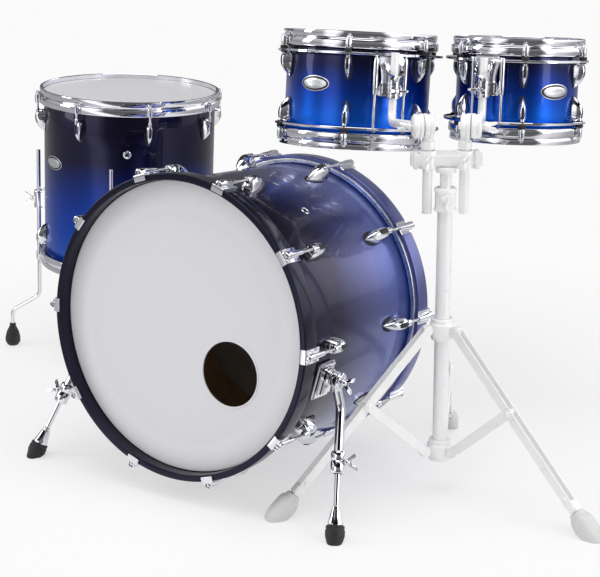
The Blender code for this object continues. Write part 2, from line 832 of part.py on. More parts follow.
def add_spur_arm(name, side, hinge_place, knuckle_faces, kit, chrome):
    """The bent tube with its knuckle and its clamp. Its frame is on the shell, with Z along the hinge pin."""
    hinge = frame_empty(f"{name}_hinge", hinge_place, kit)
    to_hinge = hinge_place.inverted()
    foot, rise = spur_line(side)
    inner_face, outer_face = knuckle_faces
    middle = Vector((0, 0, (inner_face + outer_face) / 2))
    elbow = to_hinge @ (foot + rise * (SPUR_ELBOW_HEIGHT / rise.z))
    clamp_low = to_hinge @ (foot + rise * SPUR_CLAMP_FROM_FOOT)
    exit_point = middle + Vector((elbow.x, elbow.y, 0)).normalized() * SPUR_KNUCKLE_RADIUS
    path = rounded_path([middle, exit_point, elbow, clamp_low], SPUR_BEND_RADIUS)
    arm_shape = cylinder(SPUR_KNUCKLE_RADIUS, inner_face, outer_face)
    arm = add_piece(f"{name}_arm", arm_shape, chrome, hinge)
    unite(arm, rod(path, SPUR_TUBE_RADIUS))
    along = axes_matrix(to_hinge @ foot, to_hinge.to_3x3() @ rise, (1, 0, 0))
    clamp_high = SPUR_CLAMP_FROM_FOOT + SPUR_CLAMP_LENGTH
    clamp = cylinder(SPUR_CLAMP_RADIUS, SPUR_CLAMP_FROM_FOOT - GAP, clamp_high)
    unite(arm, moved(clamp, along))
    bore = SPUR_ROD_RADIUS + SPUR_BORE_CLEARANCE
    bore_low = SPUR_CLAMP_FROM_FOOT - SPUR_BORE_BELOW
    cut(arm, moved(cylinder(bore, bore_low, SPUR_BORE_TOP), along))
    cut(arm, bolt_hole(BOLT_RADIUS, inner_face - SPUR_BOLT_REACH, outer_face + SPUR_BOLT_REACH))


def spur_hinge_along():
    """How far the spurs' hinges are from the drum's middle, towards the front."""
    return BASS_DEPTH / 2 - SPUR_HINGE_INSET


def spur_knuckle_width():
    return 2 * (SPUR_TUBE_RADIUS + SPUR_KNUCKLE_SPARE)


def add_spur_bracket(name, turn, radial, frame, chrome):
    """The bracket on the shell, with the boss that the arm's knuckle turns on."""
    rise = SPUR_BRACKET_RISE + SHELL_WALL
    block = box((rise, SPUR_BRACKET_WIDTH, SPUR_BRACKET_LENGTH), SPUR_BRACKET_EDGE)
    lower = SPUR_BRACKET_DROP / BASS_RADIUS
    middle = turn_z(turn - math.degrees(math.copysign(lower, radial.x)))
    place = Matrix.Translation((BASS_RADIUS + SPUR_BRACKET_RISE - rise / 2, 0, spur_hinge_along()))
    bracket = add_piece(f"{name}_bracket", moved(block, middle @ place), chrome, frame)
    out = turn_z(turn) @ Matrix.Translation((BASS_RADIUS, 0, spur_hinge_along()))
    out = out @ Matrix.Rotation(math.pi / 2, 4, "Y")
    unite(bracket, moved(cylinder(SPUR_KNUCKLE_RADIUS, SHELL_WALL / 2, SPUR_BOSS_RISE), out))
    fit = cylinder(BASS_RADIUS + GAP, -BASS_DEPTH / 2, BASS_DEPTH / 2, SIDES_PER_LUG * BASS_LUG_COUNT)
    cut(bracket, fit)
    hole_low = SPUR_BOSS_RISE - SPUR_BOLT_REACH - RUNNING_GAP
    cut(bracket, moved(bolt_hole(BOLT_RADIUS, hole_low, SPUR_BOSS_RISE + SHELL_WALL), out))


def add_spur_rod(name, frame, materials):
    """The rod with its cone, and the rubber tip, whose lower edge rests on the floor.

    The frame is at the foot, with Z up along the rod and X as far down as can be.
    """
    profile = [
        (0, SPUR_ROD_TOP),
        (SPUR_ROD_RADIUS, SPUR_ROD_TOP),
        (SPUR_ROD_RADIUS, SPUR_CONE_TOP),
        (SPUR_CONE_NECK, SPUR_CONE_TOP),
        (SPUR_CONE_RADIUS, SPUR_TIP_TOP + GAP),
        (0, SPUR_TIP_TOP + GAP),
    ]
    add_piece(f"{name}_rod", turned(profile, SMALL_SIDES), materials["chrome"], frame)
    sole = SPUR_TIP_RADIUS - SPUR_TIP_EDGE
    sole_low = sole * math.tan(UP.angle(spur_line(1)[1]))
    tip = [
        (0, SPUR_TIP_TOP),
        (SPUR_TIP_RADIUS - SPUR_TIP_EDGE / 2, SPUR_TIP_TOP),
        (SPUR_TIP_RADIUS, sole_low + SPUR_TIP_EDGE),
        (sole, sole_low),
        (0, sole_low),
    ]
    add_piece(f"{name}_tip", turned(tip, SMALL_SIDES), materials["rubber"], frame)


# Floor tom legs


def add_floor_leg(number, turn, kit, tom_matrix, tom_frame, materials):
    name = f"floor_tom_leg_{number}"
    chrome = materials["chrome"]
    out = FLOOR_RADIUS + LEG_ROD_OUT
    bore = LEG_ROD_RADIUS + LEG_BORE_CLEARANCE
    depth_in = LEG_BRACKET_OUT + SHELL_WALL
    block = box((depth_in, LEG_BRACKET_WIDTH, LEG_BRACKET_HEIGHT), LEG_BRACKET_EDGE)
    middle = FLOOR_RADIUS + LEG_BRACKET_OUT - depth_in / 2
    place = turn_z(turn) @ Matrix.Translation((middle, 0, -LEG_BRACKET_DROP))
    bracket = add_piece(f"floor_tom_leg_bracket_{number}", moved(block, place), chrome, tom_frame)
    wing_seat = Matrix.Translation((FLOOR_RADIUS + LEG_BRACKET_OUT, 0, -LEG_BRACKET_DROP))
    unite_wing(bracket, turn_z(turn) @ wing_seat @ Matrix.Rotation(math.pi / 2, 4, "Y"))
    fit = cylinder(FLOOR_RADIUS + GAP, -FLOOR_DEPTH / 2, FLOOR_DEPTH / 2, SIDES_PER_LUG * FLOOR_LUG_COUNT)
    cut(bracket, fit)
    reach = LEG_BRACKET_HEIGHT
    through = cylinder(bore, -LEG_BRACKET_DROP - reach, -LEG_BRACKET_DROP + reach)
    cut(bracket, moved(through, turn_z(turn) @ Matrix.Translation((out, 0, 0))))

    # The leg's frame is on the rod's axis, where the foot's sole meets the floor, with Z up along the rod.
    axis_point = tom_matrix @ (turn_z(turn) @ Vector((out, 0, 0)))
    up = (tom_matrix.to_3x3() @ UP).normalized()
    outward = tom_matrix.to_3x3() @ (turn_z(turn).to_3x3() @ Vector((1, 0, 0)))
    sole_height = FOOT_SOLE_RADIUS * math.sin(math.radians(FLOOR_TOM_LEAN))
    kicked = outward * LEG_KICK
    ground = axis_point - up * ((axis_point.z + kicked.z - sole_height) / up.z)
    frame = frame_empty(f"{name}_axis", axes_matrix(ground, up, outward), kit)
    corners = [
        (LEG_KICK, 0, FOOT_HEIGHT - FOOT_SOCKET + GAP),
        (LEG_KICK, 0, LEG_FOOT_RISE),
        (0, 0, LEG_FOOT_RISE + LEG_BEND_RISE),
        (0, 0, LEG_LENGTH),
    ]
    add_piece(name, rod(rounded_path(corners, LEG_BEND_RADIUS), LEG_ROD_RADIUS), chrome, frame)
    foot_profile = [
        (FOOT_NECK_RADIUS, FOOT_HEIGHT),
        (FOOT_RADIUS, FOOT_RADIUS),
        (FOOT_RADIUS, FOOT_RADIUS / 2),
        (FOOT_SOLE_RADIUS, 0),
        (0, 0),
    ]
    socket = LEG_ROD_RADIUS + GAP
    inner = [(0, FOOT_HEIGHT - FOOT_SOCKET), (socket, FOOT_HEIGHT - FOOT_SOCKET), (socket, FOOT_HEIGHT)]
    foot = turned([*inner, *foot_profile], SMALL_SIDES)
    foot_place = Matrix.Translation((LEG_KICK, 0, 0))
    add_piece(f"floor_tom_foot_{number}", moved(foot, foot_place), materials["rubber"], frame)


# Rack tom mounts and arms


def sector(radius, half_angle):
    """The outline of a suspension plate: a band round the shell, open to the far side."""
    outer = arc_points(radius + PLATE_OUTER_OUT, -half_angle, half_angle, PLATE_STEPS)
    inner = arc_points(radius + PLATE_INNER_OUT, half_angle, -half_angle, PLATE_STEPS)
    return outer + inner


def add_suspension_mount(name, radius, depth, frame, mount_turn, materials):
    """Two plates hung in grommets on four tension rods each, two bars between them, and the rod clamp."""
    lug_step = 180 / RACK_LUG_COUNT
    turn = turn_z(mount_turn)
    hoop_edge = depth / 2 - RIM_SKIRT_DROP
    face = hoop_edge - PLATE_DROP - PLATE_THICKNESS / 2
    back = box(
        (MOUNT_BACK_THICKNESS, 2 * MOUNT_BAR_SPREAD + 3 * MOUNT_BAR_RADIUS, MOUNT_BACK_HEIGHT),
        MOUNT_BACK_EDGE,
    )
    back_place = turn @ Matrix.Translation((radius + MOUNT_BAR_OUT, 0, MOUNT_BLOCK_ABOVE))
    mount = add_piece(f"{name}_suspension_mount", moved(back, back_place), materials["chrome"], frame)
    for side in (-1, 1):
        bar = cylinder(MOUNT_BAR_RADIUS, -face, face, ROD_SIDES)
        bar_place = turn @ Matrix.Translation((radius + MOUNT_BAR_OUT, side * MOUNT_BAR_SPREAD, 0))
        unite(mount, moved(bar, bar_place))
    sheet = plate(sector(radius, 3 * lug_step + PLATE_OVERHANG), PLATE_THICKNESS)
    for side in (-1, 1):
        unite(mount, moved(sheet.copy(), turn @ Matrix.Translation((0, 0, side * face))))
    rod_spot = Matrix.Translation((radius + ROD_OUT, 0, 0))
    rods = [turn @ turn_z(k * lug_step) @ rod_spot for k in (-3, -1, 1, 3)]
    grommet = cylinder(GROMMET_RADIUS, face, hoop_edge - RUNNING_GAP)
    grommets = copies(grommet, rods + [rod_place @ flipped() for rod_place in rods])
    unite(mount, grommets, materials["rubber"])
    hole = cylinder(ROD_RADIUS + PLATE_HOLE_CLEARANCE, -depth / 2, depth / 2, BOLT_SIDES)
    cut(mount, copies(hole, rods))
    length = MOUNT_BLOCK_OUT - MOUNT_BAR_OUT
    block = box((length, MOUNT_BLOCK_WIDTH, MOUNT_BLOCK_HEIGHT), MOUNT_BLOCK_EDGE)
    block_middle = radius + (MOUNT_BLOCK_OUT + MOUNT_BAR_OUT) / 2
    unite(mount, moved(block, turn @ Matrix.Translation((block_middle, 0, MOUNT_BLOCK_ABOVE))))
    wing_seat = Matrix.Translation((radius + MOUNT_BLOCK_OUT, 0, MOUNT_BLOCK_ABOVE))
    unite_wing(mount, turn @ wing_seat @ Matrix.Rotation(math.pi / 2, 4, "Y"))
    low = MOUNT_BLOCK_ABOVE - MOUNT_BLOCK_HEIGHT
    high = MOUNT_BLOCK_ABOVE + MOUNT_BLOCK_HEIGHT
    bore = cylinder(ARM_RADIUS + ARM_BORE_CLEARANCE, low, high)
    cut(mount, moved(bore, turn @ Matrix.Translation((radius + ARM_OUT, 0, 0))))


def add_rack_tom(name, radius, depth, place, mount_gap, side, kit, materials):
    """A rack tom, its mount, the bent arm that carries it and the post with the tilter.

    The mount is in the middle of the gap after lug mount_gap. side is -1 for the left post, 1 for the right.
    """
    mount_turn = (mount_gap + 0.5) * 360 / RACK_LUG_COUNT
    arm_spot = turn_z(mount_turn) @ Vector((radius + ARM_OUT, 0, 0))
    swivel = frame_empty(f"{name}_swivel", place @ Matrix.Translation(arm_spot), kit)
    frame = frame_empty(f"{name}_axis", Matrix.Translation(-arm_spot), swivel)
    add_tom(name, radius, depth, RACK_LUG_COUNT, RACK_LUG_INSET, frame, materials)
    add_suspension_mount(name, radius, depth, frame, mount_turn, materials)
    arm_top = arm_spot + UP * (depth / 2 + RIM_RISE - ARM_BELOW_RIM)
    add_arm_and_post(name, place, (arm_spot, arm_top), side, kit, materials)


def tilter_width():
    """Each of a tilter's two discs is a little wider than the post below it."""
    return 2 * (POST_RADIUS + TILTER_SPARE)


def tilt_frame(post, bend, side):
    """The tilt joint's frame: Z along its bolt, away from the other post, and X towards the tom.

    It lies on the seam between the post's disc, which is over the post, and the arm's, which stands
    in line with the arm's bend.
    """
    reach = bend - post
    reach.z = 0
    off_line = math.degrees(math.asin(tilter_width() / reach.length))
    across = turn_z(side * off_line).to_3x3() @ UP.cross(reach).normalized() * -side
    seam = post + across * tilter_width() / 2
    seam.z = tilter_height()
    return axes_matrix(seam, across, reach)


def add_arm_and_post(name, place, arm_line, side, kit, materials):
    """The bent arm that carries a tom, and the post below it. arm_line is the arm's middle and top."""
    post = post_point(side)
    arm_middle, arm_top = arm_line
    top = place @ arm_top
    bend = place @ (arm_middle - UP * ARM_BEND_DROP)
    tilt_place = tilt_frame(post, bend, side)
    to_tilt = tilt_place.inverted()
    width = tilter_width()
    path = rounded_path([(0, 0, width / 2), to_tilt @ bend, to_tilt @ top], ARM_BEND_RADIUS)
    disc = cylinder(TILTER_RADIUS, GAP, width)
    arm = add_piece(f"{name}_arm", disc, materials["stand"], frame_empty(f"{name}_tilt", tilt_place, kit))
    unite(arm, rod(path, ARM_RADIUS))
    cut(arm, bolt_hole(BOLT_RADIUS, -width, 2 * width))

    post_place = Matrix.Translation((post.x, post.y, 0))
    to_post = post_place.inverted() @ tilt_place
    column = cylinder(POST_RADIUS, cross_middle() - POST_BELOW_CROSS, tilter_height() - POST_TOP_DROP)
    post_frame = frame_empty(f"{name}_post_axis", post_place, kit)
    post_piece = add_piece(f"{name}_post", column, materials["stand"], post_frame)
    unite(post_piece, moved(cylinder(TILTER_RADIUS, -width, 0), to_post))
    nut_seat = width + RUNNING_GAP
    unite(post_piece, moved(cylinder(BOLT_RADIUS, -width / 2, nut_seat + WING_SUNK, BOLT_SIDES), to_post))
    unite_wing(post_piece, to_post @ Matrix.Translation((0, 0, nut_seat + WING_SUNK)))


# Stand


def strip_pair(length, inner_face, far_steps):
    """Two strips side by side, from their pivot at the origin to length along X, as one mesh.

    The near end is round. The far one is too when far_steps is over 1.
    """
    half = STRIP_WIDTH / 2
    far = [(length + x, y) for x, y in arc_points(half, -90, 90, far_steps)]
    near = arc_points(half, 90, 270, STRIP_END_STEPS)
    sheet = plate(far + near, STRIP_THICKNESS)
    offset = inner_face + STRIP_THICKNESS / 2
    return copies(sheet, [Matrix.Translation((0, 0, side * offset)) for side in (-1, 1)])


def pivot_frames(turn):
    """The plane of one leg: its frame has X outwards, Y up, and its Z along the pivots' pins."""
    stand = Matrix.Translation((STAND_X, STAND_Y, 0)) @ turn_z(turn)
    return stand @ Matrix.Rotation(math.pi / 2, 4, "X")


def strut_joint():
    """The place where a strut meets its leg, in the leg's plane."""
    pivot = Vector((PIVOT_OUT, LEG_PIVOT_HEIGHT))
    ankle = Vector((ANKLE_OUT, ANKLE_HEIGHT))
    return pivot + (ankle - pivot) * STRUT_JOINT_SHARE


def add_collar(name, height, ear_half, material, frame, inner):
    """A collar round the tube with three ears, each with its pivot pin through it."""
    low = height - COLLAR_HEIGHT / 2
    high = height + COLLAR_HEIGHT / 2
    collar = add_piece(name, ring(inner, COLLAR_OUTER, low, high, TUBE_SIDES), material, frame)
    ear_start = COLLAR_OUTER - COLLAR_EAR_SUNK
    ear_length = PIVOT_OUT + STRIP_WIDTH / 2 - ear_start
    ear = box((ear_length, 2 * ear_half, STRIP_WIDTH))
    ear_place = Matrix.Translation((ear_start + ear_length / 2, 0, height))
    pin_half = ear_half + GAP + STRIP_THICKNESS + PIVOT_PIN_OVERHANG
    pin = cylinder(PIVOT_PIN_RADIUS, -pin_half, pin_half, BOLT_SIDES)
    pin = moved(pin, Matrix.Rotation(math.pi / 2, 4, "X"))
    pin_place = Matrix.Translation((PIVOT_OUT, 0, height))
    turns = [turn_z(leg_turn) for leg_turn in leg_turns()]
    unite(collar, copies(ear, [turn @ ear_place for turn in turns]))
    unite(collar, copies(pin, [turn @ pin_place for turn in turns]))
    return collar


def leg_turns():
    """The legs' compass angles about the stand's tube: one leg points away behind the bass drum."""
    return [STAND_TURN + STAND_LEG_TURN + 120 * k for k in range(3)]


def add_stand_leg(number, turn, kit, materials):
    plane = pivot_frames(turn)
    pivot = Vector((PIVOT_OUT, LEG_PIVOT_HEIGHT, 0))
    leg_line = Vector((ANKLE_OUT, ANKLE_HEIGHT, 0)) - pivot
    along = leg_line.normalized()
    length = leg_line.length
    place = plane @ axes_matrix(pivot, (0, 0, 1), along)
    frame = frame_empty(f"stand_leg_{number}_pivot", place, kit)
    outer = LEG_STRIP_INNER + STRIP_THICKNESS
    ankle = box((STRIP_WIDTH, STRIP_WIDTH + 2 * ANKLE_SPARE, 2 * (outer + ANKLE_SPARE)))
    leg = add_piece(
        f"stand_leg_{number}",
        moved(ankle, Matrix.Translation((length - STRIP_WIDTH / 2, 0, 0))),
        materials["stand"],
        frame,
    )
    unite(leg, strip_pair(length - STRIP_WIDTH, LEG_STRIP_INNER, 1))
    joint_at = (strut_joint().to_3d() - pivot).length
    spacer_half = LEG_STRIP_INNER + STRIP_THICKNESS / 2
    spacer = cylinder(SPACER_RADIUS, -spacer_half, spacer_half, BOLT_SIDES)
    unite(leg, moved(spacer, Matrix.Translation((joint_at, 0, 0))))
    cut(leg, bolt_hole(PIVOT_PIN_RADIUS, -2 * outer, 2 * outer))

    boot = box((RUBBER_LENGTH, RUBBER_DEPTH, RUBBER_WIDTH), RUBBER_EDGE)
    boot_middle = length + GAP + RUBBER_LENGTH / 2
    boot = moved(boot, Matrix.Translation((boot_middle, 0, 0)))
    to_foot = place.inverted()
    boot = sliced(boot, to_foot @ Vector((0, 0, 0)), to_foot.to_3x3() @ -UP)
    add_piece(f"stand_foot_{number}", boot, materials["pale_rubber"], frame)


def add_strut(number, turn, kit, materials):
    plane = pivot_frames(turn)
    pivot = Vector((PIVOT_OUT, STRUT_PIVOT_HEIGHT, 0))
    joint = strut_joint().to_3d()
    along = (joint - pivot).normalized()
    place = plane @ axes_matrix(pivot, (0, 0, 1), along)
    frame = frame_empty(f"stand_strut_{number}_pivot", place, kit)
    inner = strut_inner_face()
    bridge_at = (joint - pivot).length * STRUT_BRIDGE_SHARE
    bridge = box((STRIP_WIDTH / 2, STRIP_WIDTH / 2, 2 * inner + STRIP_THICKNESS))
    strut = add_piece(
        f"stand_strut_{number}",
        moved(bridge, Matrix.Translation((bridge_at, 0, 0))),
        materials["stand"],
        frame,
    )
    unite(strut, strip_pair((joint - pivot).length, inner, STRIP_END_STEPS))
    cut(strut, bolt_hole(PIVOT_PIN_RADIUS, -2 * inner, 2 * inner))


def strut_inner_face():
    """The struts' strips run outside the legs' strips."""
    return LEG_STRIP_INNER + STRIP_THICKNESS + RUNNING_GAP


def add_stand(kit, materials):
    stand = materials["stand"]
    frame = frame_empty("stand_axis", Matrix.Translation((STAND_X, STAND_Y, 0)), kit)
    bore = HEIGHT_TUBE_RADIUS + RUNNING_GAP
    middle = cross_middle()
    tube_top = middle - MAIN_TUBE_BELOW_CROSS
    tube = ring(bore, MAIN_TUBE_RADIUS, MAIN_TUBE_FOOT, tube_top, TUBE_SIDES)
    main_tube = add_piece("stand_main_tube", tube, stand, frame)
    clamp_low = tube_top - HEIGHT_CLAMP_HEIGHT
    clamp_high = tube_top + HEIGHT_CLAMP_OVER
    unite(main_tube, ring(bore, HEIGHT_CLAMP_RADIUS, clamp_low, clamp_high, TUBE_SIDES))
    wing_height = (clamp_low + clamp_high) / 2
    facing = turn_z(STAND_TURN - 90) @ Matrix.Translation((HEIGHT_CLAMP_RADIUS, 0, wing_height))
    unite_wing(main_tube, facing @ Matrix.Rotation(math.pi / 2, 4, "Y"))

    collar_bore = MAIN_TUBE_RADIUS + RUNNING_GAP
    add_collar("stand_leg_collar", LEG_PIVOT_HEIGHT, LEG_STRIP_INNER - GAP, stand, frame, collar_bore)
    ear_half = strut_inner_face() - GAP
    add_collar("stand_lower_collar", STRUT_PIVOT_HEIGHT, ear_half, stand, frame, MAIN_TUBE_RADIUS + GAP)

    rise = frame_empty("stand_height_axis", Matrix.Translation((STAND_X, STAND_Y, 0)), kit)
    inner_tube = cylinder(HEIGHT_TUBE_RADIUS, middle - HEIGHT_TUBE_LENGTH, middle, TUBE_SIDES)
    height_tube = add_piece("stand_height_tube", inner_tube, stand, rise)
    cross = box((CROSS_LENGTH, CROSS_WIDTH, CROSS_HEIGHT), CROSS_EDGE)
    unite(height_tube, moved(cross, turn_z(STAND_TURN) @ Matrix.Translation((0, 0, middle))))
    for side in (-1, 1):
        place = turn_z(STAND_TURN) @ Matrix.Translation((side * POST_SPREAD, 0, middle))
        front = place @ Matrix.Translation((0, -CROSS_WIDTH / 2, 0)) @ Matrix.Rotation(math.pi / 2, 4, "X")
        unite_wing(height_tube, front @ turn_z(POST_WING_TURN))
        cut(height_tube, moved(cylinder(POST_RADIUS + RUNNING_GAP, -CROSS_HEIGHT, CROSS_HEIGHT), place))

    for number, turn in enumerate(leg_turns(), start=1):
        add_stand_leg(number, turn, kit, materials)
        add_strut(number, turn, kit, materials)


def above_bass(rise):
    """A height on the stand or its toms, given from the top of the bass drum's shell below them."""
    return bass_drum_matrix().translation.z + BASS_RADIUS + rise


def tilter_height():
    return above_bass(TILTER_ABOVE_BASS)


def cross_middle():
    return tilter_height() - CROSS_BELOW_TILTER


def post_point(side):
    """The axis of one of the two posts, at the floor's height."""
    offset = turn_z(STAND_TURN) @ Vector((side * POST_SPREAD, 0, 0))
    return Vector((STAND_X, STAND_Y, 0)) + offset


# The kit


def bass_drum_matrix():
    """The bass drum's frame: Z to the front head, Y up, X as the kit's. Its rear hoop rests on the floor."""
    lean = math.radians(BASS_LEAN)
    axis = Vector((0, -math.cos(lean), math.sin(lean)))
    rear = BASS_DEPTH / 2 - BASS_COLLAR_DROP + GAP + WOOD_HOOP_WIDTH
    lowest = wood_hoop_outer() * math.cos(lean) + rear * math.sin(lean)
    return axes_matrix(Vector((0, 0, lowest)), axis, (1, 0, 0))


def floor_tom_matrix():
    rim = FLOOR_DEPTH / 2 + RIM_RISE
    height = FLOOR_TOM_TOP - rim * math.cos(math.radians(FLOOR_TOM_LEAN))
    spot = (FLOOR_TOM_X, FLOOR_TOM_Y, height)
    return leaned(spot, FLOOR_TOM_LEAN, FLOOR_TOM_LEAN_TURN) @ turn_z(FLOOR_LUG_TURN)


def make_materials():
    return {
        "lacquer": make_material("midnight_lacquer", (0.035, 0.030, 0.090), 0.12, 0.0),
        "chrome": make_material("chrome", (0.80, 0.81, 0.83), 0.08, 1.0),
        "film": make_material("coated_film", (0.80, 0.80, 0.82), 0.45, 0.0),
        "rubber": make_material("black_rubber", (0.020, 0.020, 0.022), 0.75, 0.0),
        "pale_rubber": make_material("pale_rubber", (0.620, 0.620, 0.630), 0.65, 0.0),
        "stand": make_material("satin_silver", (0.78, 0.79, 0.80), 0.35, 0.6),
    }


def close_seams():
    """Merges the doubled points that a Boolean can leave where two edges cross."""
    for obj in bpy.data.collections[PARTS].objects:
        if obj.modifiers:
            weld = obj.modifiers.new("seams", "WELD")
            weld.merge_threshold = SEAM_DISTANCE


def stand_on_origin(kit):
    """Moves the kit so that the middle of its bounding box is over the origin."""
    bpy.context.view_layer.update()
    graph = bpy.context.evaluated_depsgraph_get()
    corners = []
    for obj in bpy.data.collections[PARTS].objects:
        if obj.type == "MESH":
            evaluated = obj.evaluated_get(graph)
            corners += [evaluated.matrix_world @ vertex.co for vertex in evaluated.data.vertices]
    middle = [(min(c[i] for c in corners) + max(c[i] for c in corners)) / 2 for i in (0, 1)]
    lowest = min(corner.z for corner in corners)
    kit.location = (-middle[0], -middle[1], -lowest)


def main():
    clear_scene()
    make_collection(PARTS)
    make_collection(CUTTERS)
    materials = make_materials()
    kit = frame_empty("drum_kit_origin", Matrix.Identity(4))

    bass_matrix = bass_drum_matrix()
    bass_frame = frame_empty("bass_drum_axis", bass_matrix, kit)
    add_bass_drum(bass_frame, materials)
    add_spur("right_spur", 1, kit, bass_matrix, bass_frame, materials)
    add_spur("left_spur", -1, kit, bass_matrix, bass_frame, materials)

    floor_matrix = floor_tom_matrix()
    floor_frame = frame_empty("floor_tom_axis", floor_matrix, kit)
    floor_sizes = (FLOOR_RADIUS, FLOOR_DEPTH, FLOOR_LUG_COUNT, FLOOR_LUG_INSET)
    floor_shell = add_tom("floor_tom", *floor_sizes, floor_frame, materials)
    add_vent(floor_shell, FLOOR_RADIUS, FLOOR_VENT_TURN, FLOOR_VENT_ALONG, materials["chrome"])
    for number, lug_gap in enumerate(LEG_GAPS, start=1):
        turn = (lug_gap + 0.5) * 360 / FLOOR_LUG_COUNT
        add_floor_leg(number, turn, kit, floor_matrix, floor_frame, materials)

    left_spot = (LEFT_TOM_X, LEFT_TOM_Y, above_bass(LEFT_TOM_ABOVE_BASS))
    left_place = leaned(left_spot, LEFT_TOM_LEAN, LEFT_TOM_LEAN_TURN) @ turn_z(LEFT_LUG_TURN)
    add_rack_tom("left_tom", LEFT_RADIUS, LEFT_DEPTH, left_place, LEFT_MOUNT_GAP, -1, kit, materials)
    right_spot = (RIGHT_TOM_X, RIGHT_TOM_Y, above_bass(RIGHT_TOM_ABOVE_BASS))
    right_place = leaned(right_spot, RIGHT_TOM_LEAN, RIGHT_TOM_LEAN_TURN) @ turn_z(RIGHT_LUG_TURN)
    add_rack_tom("right_tom", RIGHT_RADIUS, RIGHT_DEPTH, right_place, RIGHT_MOUNT_GAP, 1, kit, materials)
    add_stand(kit, materials)
    close_seams()
    stand_on_origin(kit)


main()
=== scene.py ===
"""Metres, in the frame of the solids. Each drum's pieces are made in a frame of its own, whose Z is
the drum's axis, and stand on the body that their solid belongs to.
"""

import json
import math

import bmesh
import bpy
from mathutils import Matrix, Vector


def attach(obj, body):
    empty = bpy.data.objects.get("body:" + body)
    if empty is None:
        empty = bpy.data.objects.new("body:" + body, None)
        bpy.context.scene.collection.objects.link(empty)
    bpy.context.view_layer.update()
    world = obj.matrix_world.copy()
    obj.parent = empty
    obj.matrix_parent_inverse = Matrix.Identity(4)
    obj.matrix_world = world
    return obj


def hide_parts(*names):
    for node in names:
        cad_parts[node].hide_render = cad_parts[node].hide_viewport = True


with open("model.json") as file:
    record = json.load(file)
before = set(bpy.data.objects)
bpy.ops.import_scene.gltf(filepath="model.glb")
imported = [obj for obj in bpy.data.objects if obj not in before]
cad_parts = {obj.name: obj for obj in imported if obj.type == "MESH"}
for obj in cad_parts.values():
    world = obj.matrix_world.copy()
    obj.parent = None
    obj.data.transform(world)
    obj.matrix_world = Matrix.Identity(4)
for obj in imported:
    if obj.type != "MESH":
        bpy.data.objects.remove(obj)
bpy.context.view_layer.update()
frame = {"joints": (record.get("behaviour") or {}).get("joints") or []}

# The photograph's camera
IMAGE_WIDTH = 600
FOCAL_PIXELS = 1504.9
EYE = (1.7536, -2.5766, 1.2377)
YAW = 33.31
PITCH = 16.87
ROLL = -0.274

# Places
KIT_SHIFT = Vector((0.07044, -0.22135, 0.0))
BASS_CENTRE = (0.0, 0.0, 0.316782)
BASS_LEAN = 5.4
FLOOR_CENTRE = (-0.63, 0.412, 0.44152)
FLOOR_LEAN = (2.6, 36.0)
FLOOR_TURN = 6.15
LEFT_CENTRE = (0.0376, 0.3754, 0.714482)
LEFT_LEAN = (8.3, 101.0)
LEFT_TURN = -6.9
RIGHT_CENTRE = (0.3331, 0.5344, 0.717982)
RIGHT_LEAN = (6.2, 108.0)
RIGHT_TURN = 0.7
LEFT_ARM_TURN = -30
RIGHT_ARM_TURN = -90
FLOOR_CLEAR = 0.0002
STAND_SPOT = (0.419, 0.0594, 0.0)
STAND_TURN = 33.3
LEG_TURNS = (114.3, 234.3, 354.3)

# Drums
BASS_RADIUS = 0.2794
BASS_DEPTH = 0.4064
FLOOR_RADIUS = 0.2032
FLOOR_DEPTH = 0.4064
LEFT_RADIUS = 0.1524
LEFT_DEPTH = 0.2159
RIGHT_RADIUS = 0.1270
RIGHT_DEPTH = 0.1905
SHELL_WALL = 0.0075
BASS_LUGS = 10
FLOOR_LUGS = 8
RACK_LUGS = 6
GAP = 0.0004

# Heads
FILM = 0.0005
COLLAR_OUT = 0.0030
BASS_DROP = 0.0120
TOM_DROP = 0.0080
FLESH_HEIGHT = 0.0075
FLESH_OUT = 0.0105
PORT_RADIUS = 0.0635
PORT_SPOT = (0.1150, -0.0710)

# Metal hoops
RIM_RISE = 0.0115
RIM_STEP = 0.0050
RIM_INNER = 0.0045
RIM_WALL = 0.0092
RIM_SKIRT = 0.0135
RIM_SKIRT_DROP = 0.0225
ROD_OUT = 0.0175
ROD_RADIUS = 0.0026

# Wooden hoops and claws
HOOP_WIDTH = 0.0380
HOOP_INNER = 0.0036
HOOP_WALL = 0.0135
CLAW_WIDTH = 0.0270
BASS_ROD_OUT = 0.0065
BASS_ROD_RADIUS = 0.0030

# Lugs: length, width, height, and how far the highest place is towards the rod
TOM_LUG = (0.0545, 0.0178, 0.0232, 0.22)
BASS_LUG = (0.0635, 0.0300, 0.0300, 0.35)
BASS_LUG_INSET = 0.0950
FLOOR_LUG_INSET = 0.0640
RACK_LUG_INSET = 0.0600

# Rack tom mounts and arms
PLATE_INNER = 0.0108
PLATE_OUTER = 0.0243
PLATE_DROP = 0.0075
PLATE_THICKNESS = 0.0030
PLATE_HALF_ANGLE = 96.0
BAR_OUT = 0.0180
BAR_SPREAD = 0.0320
BAR_RADIUS = 0.0030
BRACKET_LOW = -0.0075
BRACKET_HIGH = 0.0715
ARM_OUT = 0.0370
ARM_RADIUS = 0.0085
ARM_TOP_DROP = 0.0390
ARM_BEND_DROP = 0.0590
ARM_BEND_RADIUS = 0.0250
ARM_CLAMP_HIGH = 0.0215
TILTER_RADIUS = 0.0228
TILTER_WIDTH = 0.0200

